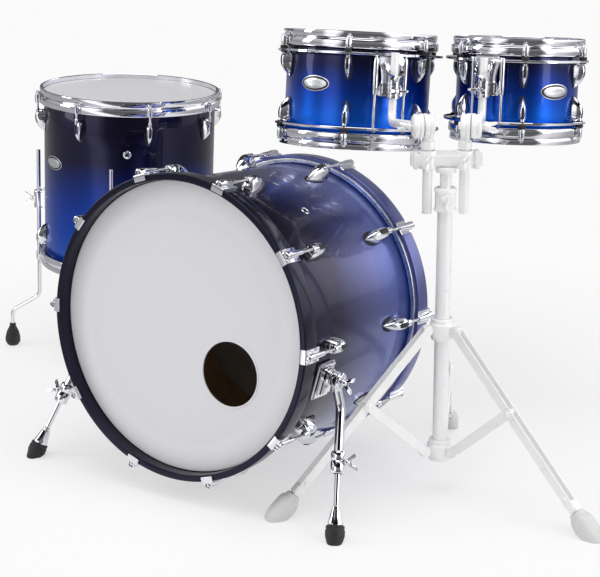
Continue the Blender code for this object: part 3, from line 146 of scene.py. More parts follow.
# Stand
POST_SPREAD = 0.0340
POST_RADIUS = 0.0090
CROSS_MIDDLE = 0.66198
POST_FOOT = 0.55998
POST_TOP = 0.71498
HEIGHT_FOOT = 0.37998
MAIN_TOP = 0.60498
MAIN_FOOT = 0.0650
MAIN_RADIUS = 0.0140
HEIGHT_RADIUS = 0.0105
COLLAR_OUTER = 0.0238
COLLAR_HEIGHT = 0.0418
PIVOT_OUT = 0.0320
LEG_PIVOT_HEIGHT = 0.3350
STRUT_PIVOT_HEIGHT = 0.0890
ANKLE = (0.3020, 0.0420)
STRIP_THICKNESS = 0.0026
STRIP_WIDTH = 0.0180
LEG_STRIP_INNER = 0.0065
STRUT_STRIP_INNER = 0.0096
STRUT_JOINT_SHARE = 0.4560
FOOT_LENGTH = 0.0760
FOOT_HALF = 0.0205

# Spurs
SPUR_FOOT = (0.3680, -0.2435)
SPUR_SPREAD = 14.9
SPUR_RAKE = 27.6
SPUR_TURN = -11.0
SPUR_ALONG = 0.1320
SPUR_ELBOW_HEIGHT = 0.2150
SPUR_CLAMP_FROM_FOOT = 0.1250
SPUR_CLAMP_LENGTH = 0.0418
SPUR_TUBE_RADIUS = 0.0090
SPUR_KNUCKLE_RADIUS = 0.0168
SPUR_BOSS_RISE = 0.0240
SPUR_KNUCKLE_WIDTH = 0.0200
SPUR_BASE_DROP = 0.0120

# Floor tom legs
LEG_ROD_OUT = 0.0210
LEG_ROD_RADIUS = 0.0048
LEG_BRACKET_OUT = 0.0330
LEG_BRACKET_DROP = 0.0720
LEG_LENGTH = 0.5050
LEG_KICK = 0.0700
LEG_SOLE_RADIUS = 0.0120
LEG_GAPS = (1, 4, 6)

# Badges and vents: degrees round the drum, and height above its middle
FLOOR_BADGE = (-117.0, 0.0490)
LEFT_BADGE = (-87.5, 0.0108)
RIGHT_BADGE = (-28.0, 0.0015)
BASS_VENT = (54.7, 0.0430)
FLOOR_VENT = (-58.4, 0.0920)

# Light: what mirrors see is (height from straight down to straight up, brightness) for the bands,
# and (compass, brightness) for the strips. The floor's strips are painted reflections, glowing
# from the floor in mirrors. A softbox has a place, a target, two sizes and a power.
WHITE = (0.96, 0.96, 0.96)
WORLD_LIGHT = 0.62
MIRROR_BANDS = (
    (0.0, 0.8), (0.5, 0.96), (0.6, 1.6), (0.735, 2.4), (0.765, 0.07), (0.88, 0.04), (0.93, 0.6),
    (0.97, 0.1),
)
MIRROR_STRIPS = (
    (0.0, 0.3), (0.17, 0.3), (0.2, 1.0), (0.235, 1.0), (0.27, 0.1), (0.43, 0.1), (0.47, 1.0), (0.72, 1.0),
    (0.79, 0.12),
)
FLOOR_PAINTED_REFLECTION_STRIPS = (
    (0.0, 0.4), (0.175, 0.5), (0.2, 1.4), (0.23, 1.4), (0.265, 0.14), (0.44, 0.14), (0.475, 1.0),
    (0.6, 0.42),
)
SOFTBOXES = {
    "top_softbox": ((0.3, -0.6, 3.2), (0.1, 0.0, 0.4), 2.6, 2.0, 42),
    "left_softbox": ((-2.6, -1.9, 1.9), (0, 0, 0.4), 0.9, 2.2, 26),
    "right_softbox": ((3.0, -0.2, 1.7), (0, 0, 0.4), 0.8, 2.2, 22),
}

# Smoothness
TURN_STEPS = 160
SMALL_STEPS = 28
CLAMP_STEPS = 40


# Meshes


def new_mesh(name, points, faces):
    mesh = bpy.data.meshes.new(name)
    mesh.from_pydata([tuple(point) for point in points], [], faces)
    return cleaned(mesh)


def cleaned(mesh):
    model = bmesh.new()
    model.from_mesh(mesh)
    bmesh.ops.remove_doubles(model, verts=model.verts[:], dist=0.000005)
    bmesh.ops.recalc_face_normals(model, faces=model.faces[:])
    model.to_mesh(mesh)
    model.free()
    return mesh


def full_turn(steps):
    return [2 * math.pi * step / steps for step in range(steps)]


def squared(value, power):
    """A sine or cosine moved outwards by a power below 1, which squares off a round outline."""
    return math.copysign(abs(value) ** power, value)


def rounded(profile, radius, closed=True, steps=3):
    """The same outline with its corners rounded, each by a short curve between the sides beside it."""
    points = [Vector(point) for point in profile]
    count = len(points)
    result = []
    for index, corner in enumerate(points):
        if not closed and index in (0, count - 1):
            result.append(tuple(corner))
            continue
        before = points[index - 1] - corner
        after = points[(index + 1) % count] - corner
        cut = min(radius, 0.45 * before.length, 0.45 * after.length)
        start = corner + before.normalized() * cut
        end = corner + after.normalized() * cut
        for step in range(steps + 1):
            t = step / steps
            result.append(tuple(start * (1 - t) ** 2 + corner * 2 * t * (1 - t) + end * t**2))
    return result


def lathe(profile, steps=SMALL_STEPS):
    """Turns (radius, height) points about Z. Points on the axis close the ends; otherwise it is a ring."""
    points = []
    rings = []
    for radius, height in profile:
        if radius < 1e-7:
            rings.append([len(points)])
            points.append((0, 0, height))
            continue
        rings.append(list(range(len(points), len(points) + steps)))
        points += [(radius * math.cos(a), radius * math.sin(a), height) for a in full_turn(steps)]
    pairs = list(zip(rings, rings[1:]))
    if len(rings[0]) > 1 and len(rings[-1]) > 1:
        pairs.append((rings[-1], rings[0]))
    faces = []
    for first, second in pairs:
        for step in range(steps):
            after = (step + 1) % steps
            if len(first) == 1 and len(second) == 1:
                continue
            if len(first) == 1:
                faces.append((first[0], second[after], second[step]))
            elif len(second) == 1:
                faces.append((first[step], first[after], second[0]))
            else:
                faces.append((first[step], first[after], second[after], second[step]))
    return new_mesh("lathe", points, faces)


def turned(profile, edge, steps=SMALL_STEPS):
    """Turns a profile that begins and ends on the axis, with its corners rounded."""
    return lathe(rounded(profile, edge, closed=False), steps)


def loft(rings, closed=False):
    """Skins rings of equal length, either with a cap on each end or closed into a loop."""
    count = len(rings[0])
    points = [point for ring in rings for point in ring]
    faces = []
    if not closed:
        faces += [tuple(range(count)), tuple(range(len(points) - count, len(points)))]
    for index in range(len(rings) if closed else len(rings) - 1):
        low = index * count
        high = (low + count) % len(points)
        for step in range(count):
            after = (step + 1) % count
            faces.append((low + step, low + after, high + after, high + step))
    return new_mesh("loft", points, faces)


def sweep(path, radius, sides):
    """A round tube along the path."""
    across = None
    rings = []
    for index, point in enumerate(path):
        before = path[max(index - 1, 0)]
        after = path[min(index + 1, len(path) - 1)]
        along = (after - before).normalized()
        if across is None:
            across = along.orthogonal().normalized()
        across = (across - along * across.dot(along)).normalized()
        other = along.cross(across)
        spokes = [across * math.cos(angle) + other * math.sin(angle) for angle in full_turn(sides)]
        rings.append([point + spoke * radius for spoke in spokes])
    return loft(rings)


def bent_path(corners, bend_radius, steps=10):
    """Points along straight runs between these corners, with an arc at each inner corner."""
    corners = [Vector(corner) for corner in corners]
    points = [corners[0]]
    for before, corner, after in zip(corners, corners[1:], corners[2:]):
        incoming = (corner - before).normalized()
        outgoing = (after - corner).normalized()
        turn = incoming.angle(outgoing)
        start = corner - incoming * bend_radius * math.tan(turn / 2)
        inward = (outgoing - incoming * incoming.dot(outgoing)).normalized()
        for step in range(steps + 1):
            angle = turn * step / steps
            along = incoming * math.sin(angle) + inward * (1 - math.cos(angle))
            points.append(start + along * bend_radius)
    points.append(corners[-1])
    return points


def prism(outline, thickness, edge=0.0, segments=2):
    """An outline in XY made thickness thick about z = 0, with its rims rounded."""
    count = len(outline)
    half = thickness / 2
    points = [(x, y, -half) for x, y in outline] + [(x, y, half) for x, y in outline]
    faces = [tuple(range(count)), tuple(range(count, 2 * count))]
    for step in range(count):
        after = (step + 1) % count
        faces.append((step, after, count + after, count + step))
    mesh = new_mesh("prism", points, faces)
    if edge:
        bevel_rims(mesh, edge, segments)
    return mesh


def bevel_rims(mesh, edge, segments):
    """Rounds the edges of a prism's two flat ends."""
    model = bmesh.new()
    model.from_mesh(mesh)
    rims = [e for e in model.edges if any(len(f.verts) > 4 for f in e.link_faces)]
    bmesh.ops.bevel(model, geom=rims, offset=edge, segments=segments, affect="EDGES", clamp_overlap=True)
    model.to_mesh(mesh)
    model.free()


def block(size, edge, segments=3):
    """A box about its own middle with rounded edges."""
    model = bmesh.new()
    bmesh.ops.create_cube(model, size=1.0, matrix=Matrix.Diagonal((*size, 1.0)))
    bmesh.ops.bevel(model, geom=model.edges[:], offset=edge, segments=segments, affect="EDGES")
    mesh = bpy.data.meshes.new("block")
    model.to_mesh(mesh)
    model.free()
    return mesh


def arc_band(profile, first, last, steps=60):
    """A band round Z from one angle to another, with this (radius, height) cross-section."""
    rings = []
    for step in range(steps + 1):
        angle = math.radians(first + (last - first) * step / steps)
        rings.append([(r * math.cos(angle), r * math.sin(angle), z) for r, z in profile])
    return loft(rings)


def capsule_outline(length, half, steps=10):
    """A strip's outline along X, from a round end about the origin to one about length."""
    far = [math.radians(-90 + 180 * step / steps) for step in range(steps + 1)]
    near = [math.radians(90 + 180 * step / steps) for step in range(steps + 1)]
    points = [(length + half * math.cos(a), half * math.sin(a)) for a in far]
    return points + [(half * math.cos(a), half * math.sin(a)) for a in near]


def round_pin(radius, low, high, edge=0.0006):
    """A round pin or disc along Z with rounded rims."""
    return turned([(0, high), (radius, high), (radius, low), (0, low)], edge)


def cylinder(radius, low, high, steps):
    return lathe([(0, low), (radius, low), (radius, high), (0, high)], steps)


def hexagon(radius, low, high):
    """A hexagon nut along Z."""
    middle = (low + high) / 2
    return merged([(prism(circle((0, 0), radius, 6), high - low, 0.0004), shift(z=middle))])


def merged(parts):
    """One mesh from (mesh, matrix) pairs. Each mesh may be used more than once."""
    model = bmesh.new()
    for mesh, matrix in parts:
        single = mesh.copy()
        single.transform(matrix)
        if matrix.determinant() < 0:
            single.flip_normals()
        model.from_mesh(single)
        bpy.data.meshes.remove(single)
    result = bpy.data.meshes.new("merged")
    model.to_mesh(result)
    model.free()
    return result


def copies(mesh, spots):
    """The mesh at each of these matrices, as one mesh."""
    return merged([(mesh, spot) for spot in spots])


# Matrices


def shift(x=0.0, y=0.0, z=0.0):
    return Matrix.Translation((x, y, z))


def turn_z(degrees):
    return Matrix.Rotation(math.radians(degrees), 4, "Z")


def turn_x(degrees):
    return Matrix.Rotation(math.radians(degrees), 4, "X")


def turn_y(degrees):
    return Matrix.Rotation(math.radians(degrees), 4, "Y")


def axes_matrix(origin, z_axis, x_hint):
    """A frame at origin with its Z along z_axis and its X as near as can be to x_hint."""
    z_axis = Vector(z_axis).normalized()
    y_axis = z_axis.cross(Vector(x_hint)).normalized()
    x_axis = y_axis.cross(z_axis)
    matrix = Matrix((x_axis, y_axis, z_axis)).transposed().to_4x4()
    matrix.translation = origin
    return matrix


def leaned(centre, lean, turn):
    """A tom's frame: its axis leaned by lean[0] degrees towards the compass angle lean[1]."""
    axis = turn_z(lean[1]).to_3x3() @ Vector((0, 1, 0))
    tilt = Matrix.Rotation(math.radians(lean[0]), 4, axis)
    return Matrix.Translation(Vector(centre) + KIT_SHIFT) @ tilt @ turn_z(turn)


def around(count, radius, height=0.0):
    """Matrices of count places round a drum, with X outwards."""
    return [turn_z(360 * k / count) @ shift(radius, 0, height) for k in range(count)]


HERE = Matrix.Identity(4)
FLIPPED = turn_x(180)
JOINTS = {joint["name"]: joint for joint in frame["joints"]}


# Materials


def node_of(owner, kind, **values):
    """A new node of a material or a world."""
    node = owner.node_tree.nodes.new(kind)
    for key, value in values.items():
        setattr(node, key, value)
    return node


def new_material(name, colour, roughness, metallic=0.0, coat=0.0):
    material = bpy.data.materials.new(name)
    material.use_nodes = True
    shader = material.node_tree.nodes["Principled BSDF"]
    shader.inputs["Base Color"].default_value = (*colour, 1.0)
    shader.inputs["Roughness"].default_value = roughness
    shader.inputs["Metallic"].default_value = metallic
    shader.inputs["Coat Weight"].default_value = coat
    shader.inputs["Coat Roughness"].default_value = 0.03
    return material, shader


def feed(owner, value, socket):
    """Gives a socket a number, a colour or another node's output."""
    if isinstance(value, (int, float)):
        socket.default_value = value
    elif isinstance(value, tuple):
        socket.default_value = (*value, 1.0)
    else:
        owner.node_tree.links.new(value, socket)


def object_place(owner):
    return node_of(owner, "ShaderNodeTexCoord").outputs["Object"]


def split_axes(owner, vector):
    node = node_of(owner, "ShaderNodeSeparateXYZ")
    feed(owner, vector, node.inputs["Vector"])
    return node.outputs


def length_of(owner, vector):
    node = node_of(owner, "ShaderNodeVectorMath", operation="LENGTH")
    feed(owner, vector, node.inputs[0])
    return node.outputs["Value"]


def compass(owner, vector):
    """How far round Z a place is, from 0 to 1."""
    node = node_of(owner, "ShaderNodeTexGradient", gradient_type="RADIAL")
    feed(owner, vector, node.inputs["Vector"])
    return node.outputs["Fac"]


def combined(owner, operation, first, second):
    """Two numbers added, multiplied or compared."""
    node = node_of(owner, "ShaderNodeMath", operation=operation)
    feed(owner, first, node.inputs[0])
    feed(owner, second, node.inputs[1])
    return node.outputs[0]


def noise(owner, scale, detail=3.0, stretch=None):
    """A noise texture in the piece's own frame, stretched along the axes if asked."""
    place = object_place(owner)
    if stretch:
        mapping = node_of(owner, "ShaderNodeMapping")
        mapping.inputs["Scale"].default_value = stretch
        feed(owner, place, mapping.inputs["Vector"])
        place = mapping.outputs["Vector"]
    texture = node_of(owner, "ShaderNodeTexNoise")
    texture.inputs["Scale"].default_value = scale
    texture.inputs["Detail"].default_value = detail
    feed(owner, place, texture.inputs["Vector"])
    return texture.outputs["Fac"]


def ramp(owner, source, stops):
    """A colour ramp of (place, colour) stops on a number."""
    node = node_of(owner, "ShaderNodeValToRGB")
    elements = node.color_ramp.elements
    while len(elements) < len(stops):
        elements.new(0.5)
    for element, (place, colour) in zip(elements, stops):
        element.position = place
        element.color = (*colour, 1.0)
    feed(owner, source, node.inputs["Fac"])
    return node.outputs["Color"]


def grey_ramp(owner, source, stops):
    """A ramp of (place, brightness) stops, slightly blue."""
    return ramp(owner, source, [(place, (value, value, value * 1.02)) for place, value in stops])


def spread(owner, source, low, high, to_low=0.0, to_high=1.0):
    """A number between low and high, moved to lie between two others."""
    node = node_of(owner, "ShaderNodeMapRange")
    sockets = zip(("From Min", "From Max", "To Min", "To Max"), (low, high, to_low, to_high))
    for socket, value in sockets:
        node.inputs[socket].default_value = value
    feed(owner, source, node.inputs["Value"])
    return node.outputs["Result"]


def mixed(owner, share, first, second, mode="MIX"):
    """A mix of two colours. Each is a socket or a plain colour."""
    node = node_of(owner, "ShaderNodeMix", data_type="RGBA", blend_type=mode)
    for index, value in ((0, share), (6, first), (7, second)):
        feed(owner, value, node.inputs[index])
    return node.outputs[2]


def mixed_shaders(owner, share, first, second):
    node = node_of(owner, "ShaderNodeMixShader")
    for index, value in enumerate((share, first, second)):
        feed(owner, value, node.inputs[index])
    return node.outputs[0]


def bump(material, shader, height, strength, distance):
    node = node_of(material, "ShaderNodeBump")
    node.inputs["Strength"].default_value = strength
    node.inputs["Distance"].default_value = distance
    feed(material, height, node.inputs["Height"])
    feed(material, node.outputs["Normal"], shader.inputs["Normal"])


def paint(material, shader, colour):
    feed(material, colour, shader.inputs["Base Color"])


def vary_roughness(material, shader, texture, low, high, until=0.7):
    feed(material, spread(material, texture, 0.3, until, low, high), shader.inputs["Roughness"])


def lacquer(name, stops, half_depth):
    """A candy lacquer that fades along the drum's axis, with fine flake under a clear coat."""
    material, shader = new_material(name, stops[0][1], 0.30, 0.80, coat=0.35)
    shader.inputs["Specular IOR Level"].default_value = 0.25
    shader.inputs["Coat Roughness"].default_value = 0.02
    height = split_axes(material, object_place(material))["Z"]
    along = spread(material, height, half_depth, -half_depth)
    drift = spread(material, noise(material, 6.0, 1.0), 0.3, 0.7, -0.012, 0.012)
    fade = ramp(material, combined(material, "ADD", along, drift), stops)
    speckle = [(0.35, (0.94, 0.94, 0.94)), (0.75, (1.06, 1.06, 1.06))]
    flake = ramp(material, noise(material, 1400.0, 1.0), speckle)
    paint(material, shader, mixed(material, 1.0, fade, flake, "MULTIPLY"))
    vary_roughness(material, shader, noise(material, 60.0), 0.27, 0.33)
    return material


def chrome_finish():
    material, shader = new_material("polished_chrome", (0.80, 0.80, 0.84), 0.05, 1.0)
    haze = noise(material, 26.0, 4.0)
    vary_roughness(material, shader, haze, 0.025, 0.08, 0.75)
    paint(material, shader, ramp(material, haze, [(0.3, (0.74, 0.74, 0.79)), (0.7, (0.84, 0.84, 0.87))]))
    bump(material, shader, noise(material, 300.0, 2.0), 0.012, 0.0002)
    return material


def thread_finish():
    """Chrome with a fine thread across the piece's Z, each groove painted darker as painted shade."""
    material, shader = new_material("threaded_chrome", (0.78, 0.79, 0.81), 0.14, 1.0)
    wave = node_of(
        material, "ShaderNodeTexWave", wave_type="BANDS", bands_direction="Z", wave_profile="TRI",
    )
    wave.inputs["Scale"].default_value = 260.0
    feed(material, object_place(material), wave.inputs["Vector"])
    bump(material, shader, wave.outputs["Fac"], 0.5, 0.0004)
    # Darker in each thread's groove: painted shade.
    stops = [(0.0, (0.45, 0.46, 0.48)), (0.5, (0.86, 0.87, 0.89))]
    paint(material, shader, ramp(material, wave.outputs["Fac"], stops))
    return material


def steel_finish():
    """The brushed metal of the flesh hoops and the badges' rims."""
    material, shader = new_material("brushed_steel", (0.72, 0.73, 0.75), 0.28, 1.0)
    grain = noise(material, 40.0, 4.0, stretch=(1.0, 1.0, 60.0))
    vary_roughness(material, shader, grain, 0.22, 0.38)
    paint(material, shader, ramp(material, grain, [(0.3, (0.62, 0.63, 0.65)), (0.7, (0.80, 0.81, 0.83))]))
    return material


def film_finish(name, ring_at, shade):
    """A coated film, with the brighter ring of its muffling layer from ring_at outwards."""
    material, shader = new_material(name, shade, 0.42)
    axes = split_axes(material, object_place(material))
    flat = node_of(material, "ShaderNodeCombineXYZ")
    for letter in "XY":
        feed(material, axes[letter], flat.inputs[letter])
    distance = length_of(material, flat.outputs["Vector"])
    out = spread(material, distance, ring_at * 0.97, ring_at * 1.03)
    outer = tuple(min(value * 1.05, 0.93) for value in shade)
    base = ramp(material, out, [(0.0, shade), (1.0, outer)])
    flecks = [(0.3, (0.975, 0.975, 0.975)), (0.7, (1.0, 1.0, 1.0))]
    mottle = ramp(material, noise(material, 350.0, 4.0), flecks)
    paint(material, shader, mixed(material, 1.0, base, mottle, "MULTIPLY"))
    vary_roughness(material, shader, noise(material, 90.0), 0.36, 0.5)
    bump(material, shader, noise(material, 1100.0, 2.0), 0.08, 0.0003)
    return material


def rubber_finish(name, colour, depth=0.25):
    material, shader = new_material(name, colour, 0.62)
    grain = noise(material, 420.0, 3.0)
    lighter = tuple(min(value * (1.0 + depth) + 0.004, 1.0) for value in colour)
    paint(material, shader, ramp(material, grain, [(0.35, colour), (0.75, lighter)]))
    vary_roughness(material, shader, noise(material, 30.0), 0.5, 0.75)
    bump(material, shader, grain, depth, 0.0004)
    return material


def wood_finish():
    """The bare maple plies inside a shell, their grain running round it."""
    material, shader = new_material("maple_ply", (0.62, 0.45, 0.28), 0.55)
    grain = noise(material, 22.0, 5.0, stretch=(1.0, 1.0, 9.0))
    stops = [(0.3, (0.50, 0.34, 0.19)), (0.55, (0.64, 0.47, 0.29)), (0.8, (0.72, 0.56, 0.37))]
    paint(material, shader, ramp(material, grain, stops))
    bump(material, shader, grain, 0.15, 0.0004)
    return material


def pale_finish():
    """The stand's pale satin silver."""
    material, shader = new_material("satin_silver", (0.90, 0.90, 0.90), 0.32, 0.10, coat=0.2)
    haze = noise(material, 35.0, 4.0)
    paint(material, shader, ramp(material, haze, [(0.3, (0.90, 0.90, 0.90)), (0.7, (0.94, 0.94, 0.94))]))
    vary_roughness(material, shader, haze, 0.26, 0.4)
    bump(material, shader, noise(material, 600.0, 2.0), 0.05, 0.0002)
    return material


AUBERGINE = (0.014, 0.009, 0.032)
NIGHT = (0.009, 0.014, 0.085)
ROYAL = (0.002, 0.045, 0.38)
BRIGHT = (0.002, 0.155, 0.85)
VIOLET = (0.120, 0.135, 0.34)

FINISHES = {
    "bass_lacquer": lacquer(
        "bass_lacquer",
        [
            (0.0, (0.018, 0.012, 0.032)), (0.32, (0.034, 0.028, 0.062)),
            (0.66, VIOLET), (1.0, (0.070, 0.135, 0.55)),
        ],
        BASS_DEPTH / 2,
    ),
    "floor_lacquer": lacquer(
        "floor_lacquer",
        [(0.0, AUBERGINE), (0.34, (0.010, 0.009, 0.040)), (0.62, ROYAL), (1.0, (0.002, 0.095, 0.62))],
        FLOOR_DEPTH / 2,
    ),
    "rack_lacquer": lacquer(
        "rack_lacquer",
        [(0.10, AUBERGINE), (0.28, NIGHT), (0.52, ROYAL), (0.84, BRIGHT)],
        LEFT_DEPTH / 2,
    ),
    # The two wooden hoops share one lacquer, made as two copies: the front one darkened as painted shade,
    # the rear one lightened to violet and blue as painted reflection.
    "front_hoop_lacquer_painted_shade": lacquer(
        "front_hoop_lacquer_painted_shade",
        [(0.0, (0.008, 0.007, 0.026)), (1.0, (0.012, 0.010, 0.040))],
        BASS_DEPTH / 2,
    ),
    "rear_hoop_lacquer_painted_reflection": lacquer("rear_hoop_lacquer_painted_reflection", [(0.0, VIOLET), (1.0, (0.090, 0.115, 0.46))], BASS_DEPTH / 2),
    "chrome": chrome_finish(),
    "thread": thread_finish(),
    "steel": steel_finish(),
    "bass_film": film_finish("bass_film", 0.228, (0.735, 0.735, 0.765)),
    "tom_film": film_finish("tom_film", 0.19, (0.64, 0.64, 0.66)),
    "rubber": rubber_finish("black_rubber", (0.012, 0.012, 0.013)),
    "pale_rubber": rubber_finish("pale_rubber", (0.66, 0.66, 0.66), 0.04),
    # One near-black rubber for the lug gaskets and the badges' fields, and for the painted shade in slots,
    # bores, seams and the clamp's throat.
    "dark": rubber_finish("dark_rubber_and_painted_shade", (0.010, 0.010, 0.012)),
    "wood": wood_finish(),
    "pale": pale_finish(),
}


def put(name, mesh, finish, body, matrix, nodes=(), sharp=38.0):
    """Makes a piece from a mesh in the frame of matrix, and lets it ride on a body."""
    mesh.name = name
    mesh.materials.append(FINISHES[finish])
    mesh.shade_smooth()
    mesh.set_sharp_from_angle(angle=math.radians(sharp))
    piece = bpy.data.objects.new(name, mesh)
    bpy.context.scene.collection.objects.link(piece)
    piece.matrix_world = matrix
    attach(piece, body)
    if nodes:
        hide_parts(*nodes)
    return piece


# Drum pieces


def put_shell(name, radius, depth, finish, body, place, node):
    """The shell: lacquer outside, bare wood inside from the bearing edge on."""
    half = depth / 2
    inner = radius - SHELL_WALL
    profile = [
        (radius - 0.0006, half - 0.0002), (radius, half - 0.0012), (radius, half * 0.5), (radius, 0.0),
        (radius, -half * 0.5), (radius, 0.0012 - half), (radius - 0.0006, 0.0002 - half),
        (inner, SHELL_WALL - half), (inner, half - SHELL_WALL),
    ]
    piece = put(name, lathe(profile, TURN_STEPS), finish, body, place, [node])
    piece.data.materials.append(FINISHES["wood"])
    for polygon in piece.data.polygons:
        x, y, _ = polygon.center
        polygon.material_index = 1 if math.hypot(x, y) < radius - 0.0012 else 0
    return piece


def lug_size_at(t, size):
    """A lug's height and half width at t from -1 to 1: a point at one end, blunt at the rod's."""
    _, width, height, peak = size
    if t < peak:
        share = math.sin((t + 1) / (peak + 1) * math.pi / 2)
        return height * share**0.75, width / 2 * share**0.85
    share = (t - peak) / (1 - peak)
    return height * (1 - share**3.0) ** 0.42, width / 2 * (1 - share**3.4) ** 0.40


def lug_dome(tall, wide, across):
    """The height of a lug's surface at this distance from its middle line."""
    share = min(abs(across) / wide, 1.0)
    return tall * (1 - share**2.3) ** 0.46


def lug_mesh(size, rings=22, sides=16):
    """A lug's body in its own frame: X up from the shell, +Z towards the rod that it holds."""
    length = size[0]
    sections = []
    for index in range(rings + 1):
        t = -0.995 + 1.992 * index / rings
        tall, wide = lug_size_at(t, size)
        section = [(-0.0030, -wide, t * length / 2)]
        for side in range(sides + 1):
            across = -wide * math.cos(math.pi * side / sides)
            section.append((lug_dome(tall, wide, across), across, t * length / 2))
        section.append((-0.0030, wide, t * length / 2))
        sections.append(section)
    return loft(sections)


def lug_slot_shade(size, half_wide, first=-0.20, last=0.78, steps=14):
    """A thin dark skin over the lug where the slot on its crest is: painted shade for the open slot."""
    sections = []
    for index in range(steps + 1):
        t = first + (last - first) * index / steps
        tall, wide = lug_size_at(t, size)
        end = min(index, steps - index)
        half = half_wide * min(1.0, 0.55 + 0.22 * end)
        offsets = [half * (-1 + k / 3) for k in range(7)]
        skin = [(lug_dome(tall, wide, y) + 0.0003, y, t * size[0] / 2) for y in offsets]
        under = [(x - 0.0015, y, z) for x, y, z in reversed(skin)]
        sections.append(skin + under)
    return loft(sections)


def lug_gasket(length, width):
    """The thin pad between a lug and the lacquer."""
    outline = []
    for angle in full_turn(SMALL_STEPS):
        reach = squared(math.cos(angle), 0.8)
        outline.append((0.5 * (length + 0.0012) * reach, 0.5 * (width + 0.0012) * math.sin(angle)))
    return merged([(prism(outline, 0.0020), turn_y(-90))])


def put_lugs(name, radius, depth, count, inset, size, rod_out, body, place):
    """Every lug of a drum, with its swivel nut, the painted shade of its slot and its gasket."""
    length, width, height, _ = size
    along = depth / 2 - inset
    spots = around(count, radius, along) + [m @ turn_x(180) for m in around(count, radius, -along)]
    put(f"{name}_lugs", copies(lug_mesh(size), spots), "chrome", body, place)
    nut_radius = width * 0.24
    nut_low = 0.30 * length
    nut_high = 0.56 * length
    nut = turned([
        (0, nut_high), (nut_radius * 0.8, nut_high), (nut_radius, nut_high - 0.003),
        (nut_radius, nut_low), (0, nut_low),
    ], 0.0008)
    put(f"{name}_swivel_nuts", copies(nut, [m @ shift(rod_out) for m in spots]), "chrome", body, place)
    # The slot on each lug's crest is a dark skin: painted shade.
    slot_shade = lug_slot_shade(size, width * 0.17)
    put(f"{name}_lug_slot_painted_shades", copies(slot_shade, spots), "dark", body, place)
    gasket = lug_gasket(length, width)
    put(f"{name}_lug_gaskets", copies(gasket, spots), "dark", body, place)


def put_head(name, radius, depth, drop, finish, body, place, node, port=False):
    """The film with its collar, and the metal flesh hoop round it."""
    half = depth / 2
    low = half + GAP
    top = half - drop
    collar = radius + COLLAR_OUT
    profile = [
        (collar - 0.0035, low + FILM), (collar - 0.0008, low + 0.0001), (collar, half - 0.0022),
        (collar, top - 0.001), (collar - 0.0008, top - 0.001), (collar - 0.0008, half - 0.0022),
        (collar - 0.0016, low - 0.0006), (collar - 0.0036, low),
    ]
    parts = [(lathe(profile, TURN_STEPS), HERE)]
    holes = [circle(PORT_SPOT, PORT_RADIUS, 64)] if port else []
    edge = circle((0, 0), collar - 0.0035, TURN_STEPS)
    parts.append((sheet_with_holes(edge, holes, FILM), shift(0, 0, low + FILM / 2)))
    put(name, merged(parts), finish, body, place, [node])
    ring = rounded([
        (radius + FLESH_OUT, top), (radius + FLESH_OUT, top - FLESH_HEIGHT),
        (radius + 0.0012, top - FLESH_HEIGHT), (radius + 0.0012, top),
    ], 0.0014)
    put(f"{name}_flesh_hoop", lathe(ring, TURN_STEPS), "steel", body, place)
    if port:
        lip = [
            (PORT_RADIUS + 0.0030, 0.0), (PORT_RADIUS + 0.0022, 0.0011), (PORT_RADIUS - 0.0004, 0.0013),
            (PORT_RADIUS - 0.0012, 0.0004), (PORT_RADIUS - 0.0012, -0.0012), (PORT_RADIUS + 0.0004, -0.0012),
        ]
        spot = shift(*PORT_SPOT, low + FILM)
        put(f"{name}_port_ring", lathe(lip, 64), finish, body, place @ spot)


def circle(centre, radius, steps):
    x, y = centre
    return [(x + radius * math.cos(a), y + radius * math.sin(a)) for a in full_turn(steps)]


def sheet_with_holes(outline, holes, thickness):
    """A flat sheet about z = 0 with holes through it."""
    curve = bpy.data.curves.new("sheet", "CURVE")
    curve.dimensions = "2D"
    curve.fill_mode = "BOTH"
    curve.extrude = thickness / 2
    for points in (outline, *holes):
        spline = curve.splines.new("POLY")
        spline.points.add(len(points) - 1)
        for point, (x, y) in zip(spline.points, points):
            point.co = (x, y, 0, 1)
        spline.use_cyclic_u = True
    holder = bpy.data.objects.new("sheet", curve)
    bpy.context.scene.collection.objects.link(holder)
    graph = bpy.context.evaluated_depsgraph_get()
    mesh = bpy.data.meshes.new_from_object(holder.evaluated_get(graph))
    bpy.data.objects.remove(holder, do_unlink=True)
    return cleaned(mesh)


